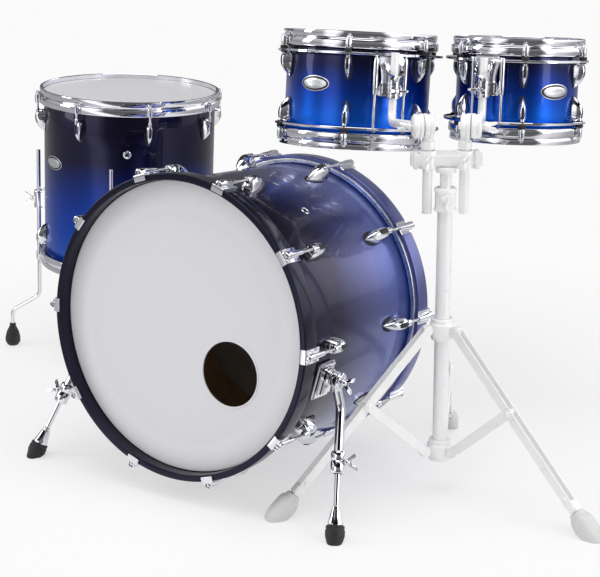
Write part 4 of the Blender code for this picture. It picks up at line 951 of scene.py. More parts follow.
def put_metal_hoop(name, radius, depth, count, inset, body, place, node):
    """A flanged hoop with rolled edges, its ears, and the tension rods with square heads."""
    half = depth / 2
    top = half + RIM_RISE
    step_at = half - RIM_STEP
    low = half - RIM_SKIRT_DROP
    wall = radius + RIM_WALL
    skirt = radius + RIM_SKIRT
    inner = radius + RIM_INNER
    profile = [
        (inner, top - 0.0010), (inner + 0.0008, top), (wall - 0.0006, top), (wall + 0.0004, top - 0.0006),
        (wall + 0.0008, top - 0.0022), (wall + 0.0007, top - 0.0080), (wall - 0.0001, step_at + 0.0040),
        (wall - 0.0012, step_at + 0.0018), (wall - 0.0024, step_at + 0.0010),
        (wall - 0.0022, step_at + 0.0002), (skirt - 0.0030, step_at), (skirt - 0.0010, step_at - 0.0006),
        (skirt, step_at - 0.0024), (skirt, low + 0.0070), (skirt - 0.0004, low + 0.0028),
        (skirt - 0.0010, low + 0.0006), (skirt - 0.0018, low), (skirt - 0.0025, low + 0.0006),
        (skirt - 0.0024, step_at - 0.0030), (inner + 0.0016, step_at - 0.0030), (inner, step_at - 0.0024),
    ]
    put(name, lathe(profile, TURN_STEPS), "chrome", body, place, [node])
    ear = turned([
        (0, step_at + 0.0022), (0.0062, step_at + 0.0022), (0.0062, low + 0.0010), (0, low + 0.0010),
    ], 0.0012)
    washer = lathe([(0, 0.0012), (0.0050, 0.0012), (0.0053, 0.0006), (0.0050, 0.0), (0, 0.0)])
    collar = lathe([(0, 0.0036), (0.0030, 0.0036), (0.0043, 0.0022), (0.0044, 0.0), (0, 0.0)])
    drive = block((0.0050, 0.0050, 0.0052), 0.0005)
    spots = around(count, radius + ROD_OUT)
    ear_top = step_at + 0.0022
    parts = []
    for m in spots:
        parts += [(ear, m), (washer, m @ shift(z=ear_top)), (collar, m @ shift(z=ear_top + 0.0012))]
        parts.append((drive, m @ turn_z(45) @ shift(z=ear_top + 0.0060)))
    put(f"{name}_rod_heads", merged(parts), "chrome", body, place)
    end = half - inset + 0.30 * TOM_LUG[0]
    rod = cylinder(ROD_RADIUS, low + 0.002, end, 16)
    put(f"{name}_rods", copies(rod, spots), "thread", body, place)


def put_vent(name, radius, turn, along, body, place):
    """The air vent's grommet, with a dark disc in its bore as painted shade."""
    spot = place @ turn_z(turn) @ shift(radius, 0, along) @ turn_y(90)
    ring = [
        (0.0094, -0.001), (0.0092, 0.0006), (0.0078, 0.0016), (0.0060, 0.0017), (0.0050, 0.0010),
        (0.0048, -0.001),
    ]
    put(f"{name}_vent", lathe(ring, 40), "chrome", body, spot)
    # A dark disc fills the bore: painted shade.
    shade_disc = [(0, 0.0004), (0.0049, 0.0004), (0.0049, -0.001), (0, -0.001)]
    put(f"{name}_vent_painted_shade", lathe(shade_disc), "dark", body, spot)


def put_badge(name, radius, turn, along, body, place):
    """A bare oval badge, bent to the shell: a bright rim round a dark field with a bare oval plate."""
    layers = (
        ("badge", 0.0345, 0.0160, 0.0012, "steel"), ("badge_field", 0.0322, 0.0142, 0.0018, "dark"),
        ("badge_plate", 0.0285, 0.0108, 0.0024, "steel"),
    )
    for word, half_wide, half_tall, rise, finish in layers:
        rings = []
        for share, out in ((0.0, rise), (0.5, rise), (0.94, rise), (1.0, rise - 0.0004), (1.0, -0.0005)):
            ring = []
            for angle in full_turn(48):
                swing = math.radians(turn) + share * half_wide * math.cos(angle) / radius
                height = along + share * half_tall * math.sin(angle)
                ring.append(((radius + out) * math.cos(swing), (radius + out) * math.sin(swing), height))
            rings.append(ring)
        put(f"{name}_{word}", loft(rings), finish, body, place)


def put_tom(name, radius, depth, count, inset, finish, body, place, badge):
    """All of a tom that rides on one body."""
    put_shell(f"{name}_lacquered_shell", radius, depth, finish, body, place, f"{name}_shell")
    put_lugs(name, radius, depth, count, inset, TOM_LUG, ROD_OUT, body, place)
    ends = ((place, "batter_head", "top_hoop"), (place @ FLIPPED, "resonant_head", "bottom_hoop"))
    for end, head, hoop in ends:
        put_head(f"{name}_{head}_film", radius, depth, TOM_DROP, "tom_film", body, end, f"{name}_{head}")
        put_metal_hoop(f"{name}_{hoop}_rim", radius, depth, count, inset, body, end, f"{name}_{hoop}")
    put_badge(name, radius, *badge, body, place)


# Wing bolts


def wing_parts(span=0.0335, rise=0.0138):
    """A wing bolt's hub and blade, with Z outwards from the face that it presses on."""
    half = span / 2
    top = 0.0100 + rise
    blade = [
        (-half, top - 0.0016), (-half + 0.0014, top), (-half * 0.52, top - 0.0006), (-0.0040, 0.0138),
        (0.0, 0.0124), (0.0040, 0.0138), (half * 0.52, top - 0.0006), (half - 0.0014, top),
        (half, top - 0.0016), (0.0078, 0.0074), (0.0052, 0.0052), (-0.0052, 0.0052), (-0.0078, 0.0074),
    ]
    hub = lathe([
        (0, 0.0112), (0.0032, 0.0110), (0.0046, 0.0098), (0.0050, 0.0060), (0.0060, 0.0044),
        (0.0060, 0.0012), (0.0056, 0.0004), (0, 0.0004),
    ])
    return merged([(prism(rounded(blade, 0.0018), 0.0048, 0.0014, 3), turn_x(90)), (hub, HERE)])


# Rack tom mounts and arms


def clamp_scoop(low, high, radius):
    """The open throat above the rod clamp: its rim is low in front and rises to the bracket behind."""
    rings = []
    for share, grow in ((0.0, 0.0), (0.35, 0.0006), (0.7, 0.0030), (1.0, 0.0062)):
        ring = []
        for angle in full_turn(36):
            rim = low + (high - low) * (0.28 + 0.72 * (1 - math.cos(angle)) / 2)
            reach = radius + grow
            ring.append((reach * math.cos(angle), reach * math.sin(angle), low + (rim - low) * share))
        rings.append(ring)
    inner = []
    for ring in reversed(rings):
        inner.append([(x * 0.88, y * 0.88, z + 0.0002) for x, y, z in ring])
    return loft(rings + inner, closed=True)


def bracket_outline():
    """The mount's back plate, flared like an hourglass between the two bars."""
    high = BRACKET_HIGH
    low = BRACKET_LOW
    wide = BAR_SPREAD - 0.0045
    middle = (high + low) / 2
    corners = [(wide, low), (wide, low + 0.012), (0.0200, middle - 0.010), (0.0215, middle + 0.012)]
    corners += [(wide, high - 0.010), (wide - 0.001, high)]
    corners += [(-y, z) for y, z in reversed(corners)]
    return rounded(corners, 0.0060, steps=5)


def put_mount(name, radius, depth, turn, body, place):
    """Two plates hung on four rods each, two bars between them, and the bracket with the rod clamp."""
    face = depth / 2 - RIM_SKIRT_DROP - PLATE_DROP - PLATE_THICKNESS / 2
    at = place @ turn_z(turn)
    band = [
        (radius + PLATE_INNER, 0.0015), (radius + PLATE_OUTER - 0.0010, 0.0015),
        (radius + PLATE_OUTER, 0.0008), (radius + PLATE_OUTER + 0.0002, -0.0030),
        (radius + PLATE_OUTER - 0.0004, -0.0037), (radius + PLATE_OUTER - 0.0014, -0.0032),
        (radius + PLATE_OUTER - 0.0018, -0.0014), (radius + PLATE_INNER, -0.0014),
    ]
    plate = arc_band(band, -PLATE_HALF_ANGLE, PLATE_HALF_ANGLE, 72)
    parts = [(plate, shift(z=face)), (plate, FLIPPED @ shift(z=face))]
    bar = cylinder(BAR_RADIUS, -face, face, 18)
    sleeve = turned([
        (0, BRACKET_HIGH - 0.003), (0.0050, BRACKET_HIGH - 0.003), (0.0058, BRACKET_HIGH - 0.012),
        (0.0058, BRACKET_LOW + 0.012), (0.0050, BRACKET_LOW + 0.002), (0, BRACKET_LOW + 0.002),
    ], 0.0010)
    cap = hexagon(0.0052, 0.0, 0.0036)
    for side in (-1, 1):
        spot = shift(radius + BAR_OUT, side * BAR_SPREAD)
        parts += [(bar, spot), (sleeve, spot)]
        parts += [(cap, spot @ shift(z=face + 0.0014)), (cap, spot @ FLIPPED @ shift(z=face + 0.0014))]
    upright = axes_matrix((radius + BAR_OUT + 0.0012, 0, 0), (1, 0, 0), (0, 1, 0))
    parts.append((prism(bracket_outline(), 0.0052, 0.0016, 3), upright))
    clamp_low = -0.0115
    clamp = lathe([
        (0, clamp_low), (0.0128, clamp_low), (0.0142, clamp_low + 0.0012), (0.0142, clamp_low + 0.0062),
        (0.0134, clamp_low + 0.0072), (0.0134, clamp_low + 0.0082), (0.0145, clamp_low + 0.0092),
        (0.0145, ARM_CLAMP_HIGH - 0.0080), (0.0136, ARM_CLAMP_HIGH - 0.0070),
        (0.0136, ARM_CLAMP_HIGH - 0.0058), (0.0146, ARM_CLAMP_HIGH - 0.0048), (0.0146, ARM_CLAMP_HIGH),
        (0, ARM_CLAMP_HIGH),
    ], CLAMP_STEPS)
    axis = shift(radius + ARM_OUT)
    parts.append((clamp, axis))
    parts.append((clamp_scoop(ARM_CLAMP_HIGH - 0.0002, BRACKET_HIGH - 0.006, 0.0145), axis))
    arm_gap = ARM_OUT - BAR_OUT
    for side in (-1, 1):
        spot = shift(radius + BAR_OUT + arm_gap / 2, side * 0.0105, 0.0060)
        parts.append((block((arm_gap, 0.0050, 0.0300), 0.0020), spot))
    key_seat = shift(radius + ARM_OUT + 0.0130, 0, (ARM_CLAMP_HIGH + clamp_low) / 2) @ turn_y(90)
    parts.append((wing_parts(0.0400, 0.0090), key_seat @ turn_z(90)))
    node = f"{name}_suspension_mount"
    put(f"{name}_mount", merged(parts), "chrome", body, at, [node])
    skirt_low = depth / 2 - RIM_SKIRT_DROP
    pads = []
    upper = round_pin(0.0078, face + 0.0014, skirt_low - 0.0006, 0.0010)
    under = round_pin(0.0070, face - 0.0058, face - 0.0014, 0.0012)
    for k in (-3, -1, 1, 3):
        spot = turn_z(k * 180 / RACK_LUGS) @ shift(radius + ROD_OUT)
        for end in (HERE, FLIPPED):
            pads += [(upper, end @ spot), (under, end @ spot)]
    put(f"{name}_mount_grommets", merged(pads), "rubber", body, at)
    # A dark ring between the arm and the clamp's bore: painted shade in the throat.
    throat_shade = lathe([
        (ARM_RADIUS + 0.0003, 0.002), (0.0122, 0.001), (0.0122, -0.004), (ARM_RADIUS + 0.0003, -0.004),
    ])
    put(f"{name}_mount_throat_painted_shade", throat_shade, "dark", body, at @ axis @ shift(z=ARM_CLAMP_HIGH + 0.003))


def tilter_disc(width):
    """Half of a tilter along Z from its toothed seam: a disc with a waist and ribs round it."""
    radius = TILTER_RADIUS
    disc = lathe([
        (0, 0.0006), (radius - 0.0022, 0.0006), (radius - 0.0004, 0.0016), (radius, 0.0030),
        (radius, width * 0.34), (radius - 0.0016, width * 0.42), (radius - 0.0016, width * 0.52),
        (radius - 0.0004, width * 0.60), (radius - 0.0006, width * 0.82),
        (radius - 0.0040, width - 0.0006), (radius * 0.45, width), (0, width),
    ], 48)
    tooth = block((0.0030, 0.0016, 0.0016), 0.0004)
    teeth = [(tooth, turn_z(360 * k / 32) @ shift(radius - 0.0016, 0, 0.0014)) for k in range(32)]
    return merged([(disc, HERE), *teeth])


def put_arm_and_post(name, radius, depth, turn, side, place):
    """The bent arm with its half of the tilter, and the post with the other half and the wing nut."""
    tilt = JOINTS[f"{name}_tilt"]
    outward = Vector(tilt["axis"]) * (-1 if side < 0 else 1)
    line = turn_z(turn).to_3x3() @ Vector((radius + ARM_OUT, 0, 0))
    top = place @ (line + Vector((0, 0, depth / 2 + RIM_RISE - ARM_TOP_DROP)))
    bend = place @ (line - Vector((0, 0, ARM_BEND_DROP)))
    seam = axes_matrix(Vector(tilt["pos_m"]), outward, bend - Vector(tilt["pos_m"]))
    start = seam @ Vector((0, 0, TILTER_WIDTH / 2))
    body = f"{name}_arm"
    end = top - (top - bend).normalized() * 0.0012
    tube = sweep(bent_path([start, bend, end], ARM_BEND_RADIUS), ARM_RADIUS, 28)
    cap = round_pin(ARM_RADIUS + 0.0004, -0.0030, 0.0, 0.0016)
    ferrule = round_pin(ARM_RADIUS + 0.0030, 0.0, 0.0150, 0.0014)
    reach = (bend - start).normalized()
    ferrule_at = axes_matrix(start + reach * (TILTER_RADIUS - 0.003), reach, (0, 0, 1))
    parts = [(tube, HERE), (cap, axes_matrix(top, top - bend, reach))]
    parts += [(ferrule, ferrule_at), (tilter_disc(TILTER_WIDTH), seam)]
    put(f"{name}_bent_arm", merged(parts), "pale", body, HERE, [body])
    body = f"{name}_post"
    post = Vector(JOINTS[f"{name}_post_turn"]["pos_m"])
    column = turned([
        (0, POST_TOP), (POST_RADIUS, POST_TOP), (POST_RADIUS, CROSS_MIDDLE + 0.0350),
        (POST_RADIUS + 0.0035, CROSS_MIDDLE + 0.0345), (POST_RADIUS + 0.0035, CROSS_MIDDLE + 0.0195),
        (POST_RADIUS, CROSS_MIDDLE + 0.0190), (POST_RADIUS, POST_FOOT), (0, POST_FOOT),
    ], 0.0010, CLAMP_STEPS)
    neck = block((0.0300, TILTER_WIDTH * 0.86, 0.0240), 0.0050, 4)
    neck_turn = math.degrees(math.atan2(outward.y, outward.x)) - 90
    seat = TILTER_WIDTH + 0.0022
    shank = round_pin(0.0034, -TILTER_WIDTH / 2, seat + 0.001)
    head = hexagon(0.0078, -TILTER_WIDTH - 0.0030, -TILTER_WIDTH + 0.0004)
    parts = [
        (column, shift(post.x, post.y)), (tilter_disc(TILTER_WIDTH), seam @ turn_x(180)),
        (neck, shift(post.x, post.y, POST_TOP) @ turn_z(neck_turn)), (shank, seam), (head, seam),
        (wing_parts(), seam @ shift(z=seat) @ turn_z(25)),
    ]
    put(f"{name}_post_and_tilter", merged(parts), "pale", body, HERE, [body])
    # A dark disc in the gap between the tilter's halves: painted shade.
    seam_shade_disc = round_pin(TILTER_RADIUS - 0.0034, -0.0005, 0.0005, 0.0002)
    put(f"{name}_tilter_seam_painted_shade", seam_shade_disc, "dark", body, seam)


# Floor tom legs


def put_floor_leg(number, turn, place):
    """A bracket on the shell, the bent rod through it and the rubber foot."""
    body = f"floor_tom_leg_{number}"
    at = place @ turn_z(turn)
    out = FLOOR_RADIUS + LEG_BRACKET_OUT
    base = block((0.0100, 0.0330, 0.0590), 0.0034, 4)
    clamp = turned([
        (0, 0.0225), (0.0105, 0.0225), (0.0118, 0.0180), (0.0118, -0.0180), (0.0105, -0.0225),
        (0, -0.0225),
    ], 0.0016, 36)
    rib = block((0.0150, 0.0190, 0.0420), 0.0042, 4)
    cap = block((0.0110, 0.0180, 0.0240), 0.0034, 4)
    height = shift(z=-LEG_BRACKET_DROP)
    parts = [
        (base, height @ shift(FLOOR_RADIUS + 0.0044)), (rib, height @ shift(FLOOR_RADIUS + 0.0130)),
        (clamp, height @ shift(FLOOR_RADIUS + LEG_ROD_OUT)), (cap, height @ shift(out - 0.0056)),
        (wing_parts(), height @ shift(out) @ turn_y(90)),
    ]
    for side in (-1, 1):
        screw = round_pin(0.0032, 0.0, 0.0012, 0.0005)
        parts.append((screw, height @ shift(FLOOR_RADIUS + 0.0090, 0, side * 0.0245) @ turn_y(90)))
    bracket = f"floor_tom_leg_bracket_{number}"
    put(f"{bracket}_casting", merged(parts), "chrome", "kit", at, [bracket])

    rod_line = at @ Vector((FLOOR_RADIUS + LEG_ROD_OUT, 0, 0))
    up = (place.to_3x3() @ Vector((0, 0, 1))).normalized()
    outward = at.to_3x3() @ Vector((1, 0, 0))
    sole = LEG_SOLE_RADIUS * math.sin(math.radians(FLOOR_LEAN[0]))
    ground = rod_line - up * ((rod_line.z + outward.z * LEG_KICK - sole) / up.z)
    leg = axes_matrix(ground, up, outward)
    corners = [(LEG_KICK, 0, 0.0340), (LEG_KICK, 0, 0.0900), (0, 0, 0.1350), (0, 0, LEG_LENGTH - 0.001)]
    tube = sweep(bent_path(corners, 0.0250), LEG_ROD_RADIUS, 20)
    tip = round_pin(LEG_ROD_RADIUS, LEG_LENGTH - 0.004, LEG_LENGTH, 0.0014)
    put(f"{body}_rod", merged([(tube, HERE), (tip, HERE)]), "chrome", body, leg, [body])
    foot = turned([
        (0, 0.0572), (0.0074, 0.0572), (0.0082, 0.0480), (0.0098, 0.0470), (0.0104, 0.0430),
        (0.0122, 0.0420), (0.0128, 0.0380), (0.0146, 0.0370), (0.0186, 0.0200), (0.0188, 0.0100),
        (0.0172, 0.0088), (0.0168, 0.0060), (0.0122, 0.0002), (0, 0.0002),
    ], 0.0010, 36)
    foot_node = f"floor_tom_foot_{number}"
    put(f"{foot_node}_rubber", foot, "rubber", body, leg @ shift(LEG_KICK), [foot_node])


# Stand


STAND_AT = Matrix.Translation(Vector(STAND_SPOT) + KIT_SHIFT)


def pivot_plane(turn):
    """The plane of one leg: X outwards, Y up, and Z along its pins."""
    return STAND_AT @ turn_z(turn) @ turn_x(90)


def stand_collar(height, ear_half, inner):
    """A collar round the tube with three ears and their pins."""
    half = COLLAR_HEIGHT / 2
    outer = COLLAR_OUTER
    body = lathe(rounded([
        (inner, half), (outer - 0.0030, half), (outer - 0.0026, half * 0.60), (outer, half * 0.55),
        (outer, -half * 0.55), (outer - 0.0026, -half * 0.60), (outer - 0.0030, -half), (inner, -half),
    ], 0.0012), 48)
    ear_length = PIVOT_OUT + STRIP_WIDTH / 2 - 0.0200
    ear = block((ear_length, 2 * ear_half, STRIP_WIDTH - 0.0004), 0.0022, 3)
    pin = round_pin(0.0036, -ear_half - 0.0036, ear_half + 0.0036, 0.0008)
    parts = [(body, shift(z=height))]
    for turn in LEG_TURNS:
        parts.append((ear, turn_z(turn) @ shift(0.0200 + ear_length / 2, 0, height)))
        parts.append((pin, turn_z(turn) @ shift(PIVOT_OUT, 0, height) @ turn_x(90)))
    return merged(parts)


def put_stand_column():
    """The main tube with its clamp, the two collars, and the height tube with its cross bracket."""
    clamp_low = MAIN_TOP - 0.0400
    clamp_high = MAIN_TOP + 0.0040
    main_tube = lathe([
        (HEIGHT_RADIUS + 0.0004, clamp_high), (0.0185, clamp_high), (0.0205, clamp_high - 0.0015),
        (0.0210, clamp_high - 0.0070), (0.0190, clamp_high - 0.0090), (0.0190, clamp_low + 0.0060),
        (0.0212, clamp_low + 0.0045), (0.0212, clamp_low + 0.0010), (0.0200, clamp_low),
        (MAIN_RADIUS, clamp_low - 0.0004), (MAIN_RADIUS, MAIN_FOOT + 0.0010),
        (MAIN_RADIUS - 0.0010, MAIN_FOOT), (HEIGHT_RADIUS + 0.0004, MAIN_FOOT),
    ], 48)
    clamp_at = turn_z(STAND_TURN - 90) @ shift(z=(clamp_low + clamp_high) / 2)
    boss = block((0.0180, 0.0240, 0.0200), 0.0040, 4)
    parts = [
        (main_tube, HERE),
        (boss, clamp_at @ shift(0.0140)),
        (wing_parts(), clamp_at @ shift(0.0205) @ turn_y(90)),
    ]
    put("stand_tube_and_clamp", merged(parts), "pale", "kit", STAND_AT, ["stand_main_tube"])
    lower = stand_collar(STRUT_PIVOT_HEIGHT, STRUT_STRIP_INNER - 0.0004, MAIN_RADIUS + 0.0002)
    put("stand_lower_hub", lower, "pale", "kit", STAND_AT, ["stand_lower_collar"])
    upper = stand_collar(LEG_PIVOT_HEIGHT, LEG_STRIP_INNER - 0.0004, MAIN_RADIUS + 0.0005)
    put("stand_leg_hub", upper, "pale", "stand_leg_collar", STAND_AT, ["stand_leg_collar"])

    tube = round_pin(HEIGHT_RADIUS, HEIGHT_FOOT, CROSS_MIDDLE, 0.0010)
    across = turn_z(STAND_TURN) @ shift(z=CROSS_MIDDLE)
    bar = block((0.1300, 0.0270, 0.0300), 0.0060, 4)
    parts = [(tube, HERE), (bar, across)]
    lug = lathe(rounded([
        (POST_RADIUS + 0.0006, 0.0168), (0.0165, 0.0168), (0.0165, -0.0168),
        (POST_RADIUS + 0.0006, -0.0168),
    ], 0.0018), CLAMP_STEPS)
    for side in (-1, 1):
        spot = across @ shift(side * POST_SPREAD)
        end = across @ shift(side * 0.0560)
        parts += [
            (lug, spot),
            (block((0.0190, 0.0335, 0.0335), 0.0058, 4), end),
            (round_pin(0.0060, 0.0, 0.0014), spot @ shift(0, -0.0150, 0) @ turn_x(90)),
            (wing_parts(), spot @ shift(0, -0.0170, 0) @ turn_x(90) @ turn_z(72)),
            (hexagon(0.0062, 0.0, 0.0034), spot @ shift(0, 0.0134, 0) @ turn_x(-90)),
        ]
    parts.append((round_pin(0.0190, -0.0240, -0.0140, 0.0016), across))
    put("stand_cross_bracket", merged(parts), "pale", "stand_height", STAND_AT, ["stand_height_tube"])


def strip_pair(length, inner, half_width):
    """Two strips along X, each this far from the middle plane."""
    strip = prism(capsule_outline(length, half_width), STRIP_THICKNESS, 0.0007)
    return [(strip, shift(z=side * (inner + STRIP_THICKNESS / 2))) for side in (-1, 1)]


def put_stand_leg(number, turn):
    """A leg of two strips with its foot, and its strut."""
    plane = pivot_plane(turn)
    pivot = Vector((PIVOT_OUT, LEG_PIVOT_HEIGHT, 0))
    ankle = Vector((*ANKLE, 0))
    length = (ankle - pivot).length
    leg = plane @ axes_matrix(pivot, (0, 0, 1), ankle - pivot)
    body = f"stand_leg_{number}"
    half_width = STRIP_WIDTH / 2 - 0.0002
    parts = strip_pair(length - STRIP_WIDTH / 2, LEG_STRIP_INNER, half_width)
    offset = LEG_STRIP_INNER + STRIP_THICKNESS / 2
    socket = block((STRIP_WIDTH + 0.004, STRIP_WIDTH + 0.0016, 2 * offset + 0.0040), 0.0030, 4)
    parts.append((socket, shift(length - 0.011)))
    joint_at = STRUT_JOINT_SHARE * length
    parts.append((round_pin(0.0060, -offset, offset), shift(joint_at)))
    rivet = lathe([
        (0, 0.0030), (0.0022, 0.0027), (0.0040, 0.0016), (0.0044, 0.0004), (0.0044, -0.001), (0, -0.001),
    ])
    for side in (0, 180):
        head = turn_x(side) @ shift(z=LEG_STRIP_INNER + STRIP_THICKNESS)
        parts.append((rivet, shift(length - 0.030) @ head))
    put(f"{body}_strips", merged(parts), "pale", body, leg, [body])
    foot_node = f"stand_foot_{number}"
    matrix = leg @ shift(length + 0.0004)
    boot = stood_on_floor(foot_mesh(), matrix)
    put(f"{foot_node}_boot", boot, "pale_rubber", body, matrix, [foot_node])

    joint = pivot + (ankle - pivot) * STRUT_JOINT_SHARE
    low_pivot = Vector((PIVOT_OUT, STRUT_PIVOT_HEIGHT, 0))
    reach = (joint - low_pivot).length
    strut = plane @ axes_matrix(low_pivot, (0, 0, 1), joint - low_pivot)
    body = f"stand_strut_{number}"
    parts = strip_pair(reach, STRUT_STRIP_INNER, half_width)
    offset = STRUT_STRIP_INNER + STRIP_THICKNESS / 2
    bridge = block((0.0100, 0.0088, 2 * offset), 0.0016)
    parts.append((bridge, shift(reach * 0.35)))
    rivet = lathe([
        (0, 0.0024), (0.0024, 0.0021), (0.0042, 0.0010), (0.0046, 0.0), (0.0046, -0.0010), (0, -0.0010),
    ])
    for side in (0, 180):
        parts.append((rivet, shift(reach) @ turn_x(side) @ shift(z=offset + STRIP_THICKNESS / 2)))
    put(f"{body}_strips", merged(parts), "pale", body, strut, [body])


def stood_on_floor(mesh, matrix):
    """The mesh with what would be under the floor flattened onto it, once matrix has placed it."""
    back = matrix.inverted()
    for vertex in mesh.vertices:
        world = matrix @ vertex.co
        if world.z < FLOOR_CLEAR:
            world.z = FLOOR_CLEAR
            vertex.co = back @ world
    return mesh


def foot_mesh():
    """A rounded rubber boot along X, with a collar where the leg goes in and ribs along its sole."""
    stations = (
        (0.0, 0.58), (0.04, 0.66), (0.10, 0.68), (0.13, 0.82), (0.24, 0.95), (0.42, 1.0), (0.62, 1.0),
    )
    stations += ((0.78, 0.96), (0.89, 0.84), (0.96, 0.62), (0.995, 0.30))
    rings = []
    for share, grow in stations:
        ring = []
        for step, angle in enumerate(full_turn(36)):
            rib = 1.0 - (0.03 if step % 3 == 0 and 0.2 < share < 0.9 else 0.0)
            half = FOOT_HALF * grow * rib
            y = squared(math.cos(angle), 0.72) * half
            z = squared(math.sin(angle), 0.72) * half
            ring.append((share * FOOT_LENGTH, y, z))
        rings.append(ring)
    return loft(rings)


# Spurs


def put_spur(word, side, bass):
    """A bracket, the bent tube with its clamp, the rod with its cone, the rubber tip and two wing bolts."""
    turn = SPUR_TURN if side > 0 else 180 - SPUR_TURN
    at = bass @ turn_z(turn)
    lower = math.degrees(SPUR_BASE_DROP / BASS_RADIUS)
    base_at = bass @ turn_z(turn - math.copysign(lower, side)) @ shift(BASS_RADIUS, 0, SPUR_ALONG)
    base = merged([
        (block((0.0090, 0.0730, 0.0550), 0.0030, 4), shift(0.0030)),
        (block((0.0120, 0.0560, 0.0420), 0.0056, 4), shift(0.0098)),
    ])
    put(f"{word}_spur_base", base, "chrome", "kit", base_at, [f"{word}_spur_bracket"])
    hinge = at @ shift(BASS_RADIUS, 0, SPUR_ALONG) @ turn_y(90)
    boss = turned([
        (0, SPUR_BOSS_RISE - 0.0008), (0.0150, SPUR_BOSS_RISE - 0.0008), (0.0168, 0.0190),
        (0.0168, 0.0100), (0, 0.0100),
    ], 0.0010, CLAMP_STEPS)
    put(f"{word}_spur_boss", boss, "chrome", "kit", hinge)
    # A dark disc in the gap between the boss and the knuckle: painted shade.
    seam = round_pin(0.0140, SPUR_BOSS_RISE - 0.001, SPUR_BOSS_RISE + 0.0008, 0.0002)
    put(f"{word}_spur_seam_painted_shade", seam, "dark", "kit", hinge)

    foot = Vector((side * SPUR_FOOT[0], SPUR_FOOT[1], 0)) + KIT_SHIFT
    slope = (-side * math.tan(math.radians(SPUR_SPREAD)), math.tan(math.radians(SPUR_RAKE)), 1.0)
    rise = Vector(slope).normalized()
    inner = SPUR_BOSS_RISE + 0.0006
    outer = inner + SPUR_KNUCKLE_WIDTH - 0.0006
    middle = hinge @ Vector((0, 0, (inner + outer) / 2))
    elbow = foot + rise * (SPUR_ELBOW_HEIGHT / rise.z)
    flat = hinge.inverted() @ elbow
    sideways = Vector((flat.x, flat.y, 0)).normalized() * SPUR_KNUCKLE_RADIUS
    exit_point = hinge @ (sideways + Vector((0, 0, (inner + outer) / 2)))
    clamp_low = foot + rise * SPUR_CLAMP_FROM_FOOT
    tube = sweep(bent_path([middle, exit_point, elbow, clamp_low], 0.0350), SPUR_TUBE_RADIUS, 28)
    knuckle = turned([
        (0, outer), (0.0150, outer), (0.0168, outer - 0.0030), (0.0168, inner + 0.0024), (0.0152, inner),
        (0, inner),
    ], 0.0010, CLAMP_STEPS)
    along = axes_matrix(foot, rise, (1, 0, 0))
    clamp_top = SPUR_CLAMP_FROM_FOOT + SPUR_CLAMP_LENGTH
    clamp = lathe([
        (0, clamp_top), (0.0118, clamp_top), (0.0136, clamp_top - 0.0020), (0.0142, clamp_top - 0.0060),
        (0.0142, clamp_top - 0.0160), (0.0132, clamp_top - 0.0174), (0.0132, clamp_top - 0.0190),
        (0.0143, clamp_top - 0.0206), (0.0143, SPUR_CLAMP_FROM_FOOT + 0.0020),
        (0.0130, SPUR_CLAMP_FROM_FOOT), (0, SPUR_CLAMP_FROM_FOOT),
    ], CLAMP_STEPS)
    body = f"{word}_spur_arm"
    parts = [(tube, HERE), (knuckle, hinge), (clamp, along)]
    put(f"{word}_spur_tube", merged(parts), "chrome", body, HERE, [body])
    # A dark disc round the rod at the clamp's lower face: painted shade in the bore.
    shade_disc = round_pin(0.0080, -0.0006, 0.0004, 0.0002)
    put(f"{word}_spur_bore_painted_shade", shade_disc, "dark", body, along @ shift(z=SPUR_CLAMP_FROM_FOOT))

    body = f"{word}_spur_rod"
    rod = lathe([
        (0, 0.1850), (0.0055, 0.1850), (0.0055, 0.0660), (0.0074, 0.0645), (0.0078, 0.0600),
        (0.0092, 0.0590), (0.0120, 0.0460), (0.0148, 0.0350), (0.0148, 0.0314), (0, 0.0314),
    ], 36)
    spot = axes_matrix(foot, rise, (0, 0, -1))
    put(f"{word}_spur_leg", rod, "chrome", body, spot, [body])
    tip = turned([
        (0, 0.0310), (0.0164, 0.0310), (0.0180, 0.0270), (0.0172, 0.0255), (0.0172, 0.0235),
        (0.0184, 0.0220), (0.0184, 0.0120), (0.0160, 0.0040), (0.0137, -0.0070), (0, -0.0070),
    ], 0.0010, 36)
    put(f"{word}_spur_foot", stood_on_floor(tip, spot), "rubber", body, spot, [f"{word}_spur_tip"])
    for kind in ("swivel", "height"):
        node = f"{word}_spur_{kind}_wing"
        joint = JOINTS[f"{node}_turn"]
        seat = axes_matrix(Vector(joint["pos_m"]), joint["axis"], rise)
        put(f"{node}_bolt", wing_parts(), "chrome", node, seat @ shift(z=0.0004) @ turn_z(20), [node])


# Bass drum


def claw_parts(front, low):
    """A claw's strap, its boss round the rod and the key head, in a frame with X out from the hoop."""
    strap = rounded([
        (-0.0100, front - 0.0001), (-0.0100, front + 0.0029), (0.0034, front + 0.0029),
        (0.0042, front - 0.0140), (0.0030, low - 0.0040), (-0.0001, low - 0.0070),
        (-0.0001, front - 0.0001),
    ], 0.0022)
    strap_mesh = prism(strap, CLAW_WIDTH, 0.0012)
    boss = lathe([
        (0, front - 0.0014), (0.0050, front - 0.0014), (0.0052, front + 0.0020), (0.0060, front + 0.0029),
        (0.0074, front + 0.0024), (0.0078, front + 0.0004), (0.0078, front - 0.0150),
        (0.0066, front - 0.0230), (0.0052, low - 0.0080), (0.0048, low - 0.0130), (0, low - 0.0130),
    ])
    key = block((0.0050, 0.0050, 0.0050), 0.0006)
    collar = lathe([
        (0, front + 0.0004), (0.0040, front + 0.0004), (0.0042, front - 0.0016), (0, front - 0.0016),
    ])
    flat = turn_x(90)
    axis = shift(BASS_ROD_OUT)
    parts = [(strap_mesh, flat), (boss, axis), (key, axis @ shift(z=front + 0.0006)), (collar, axis)]
    return merged(parts)


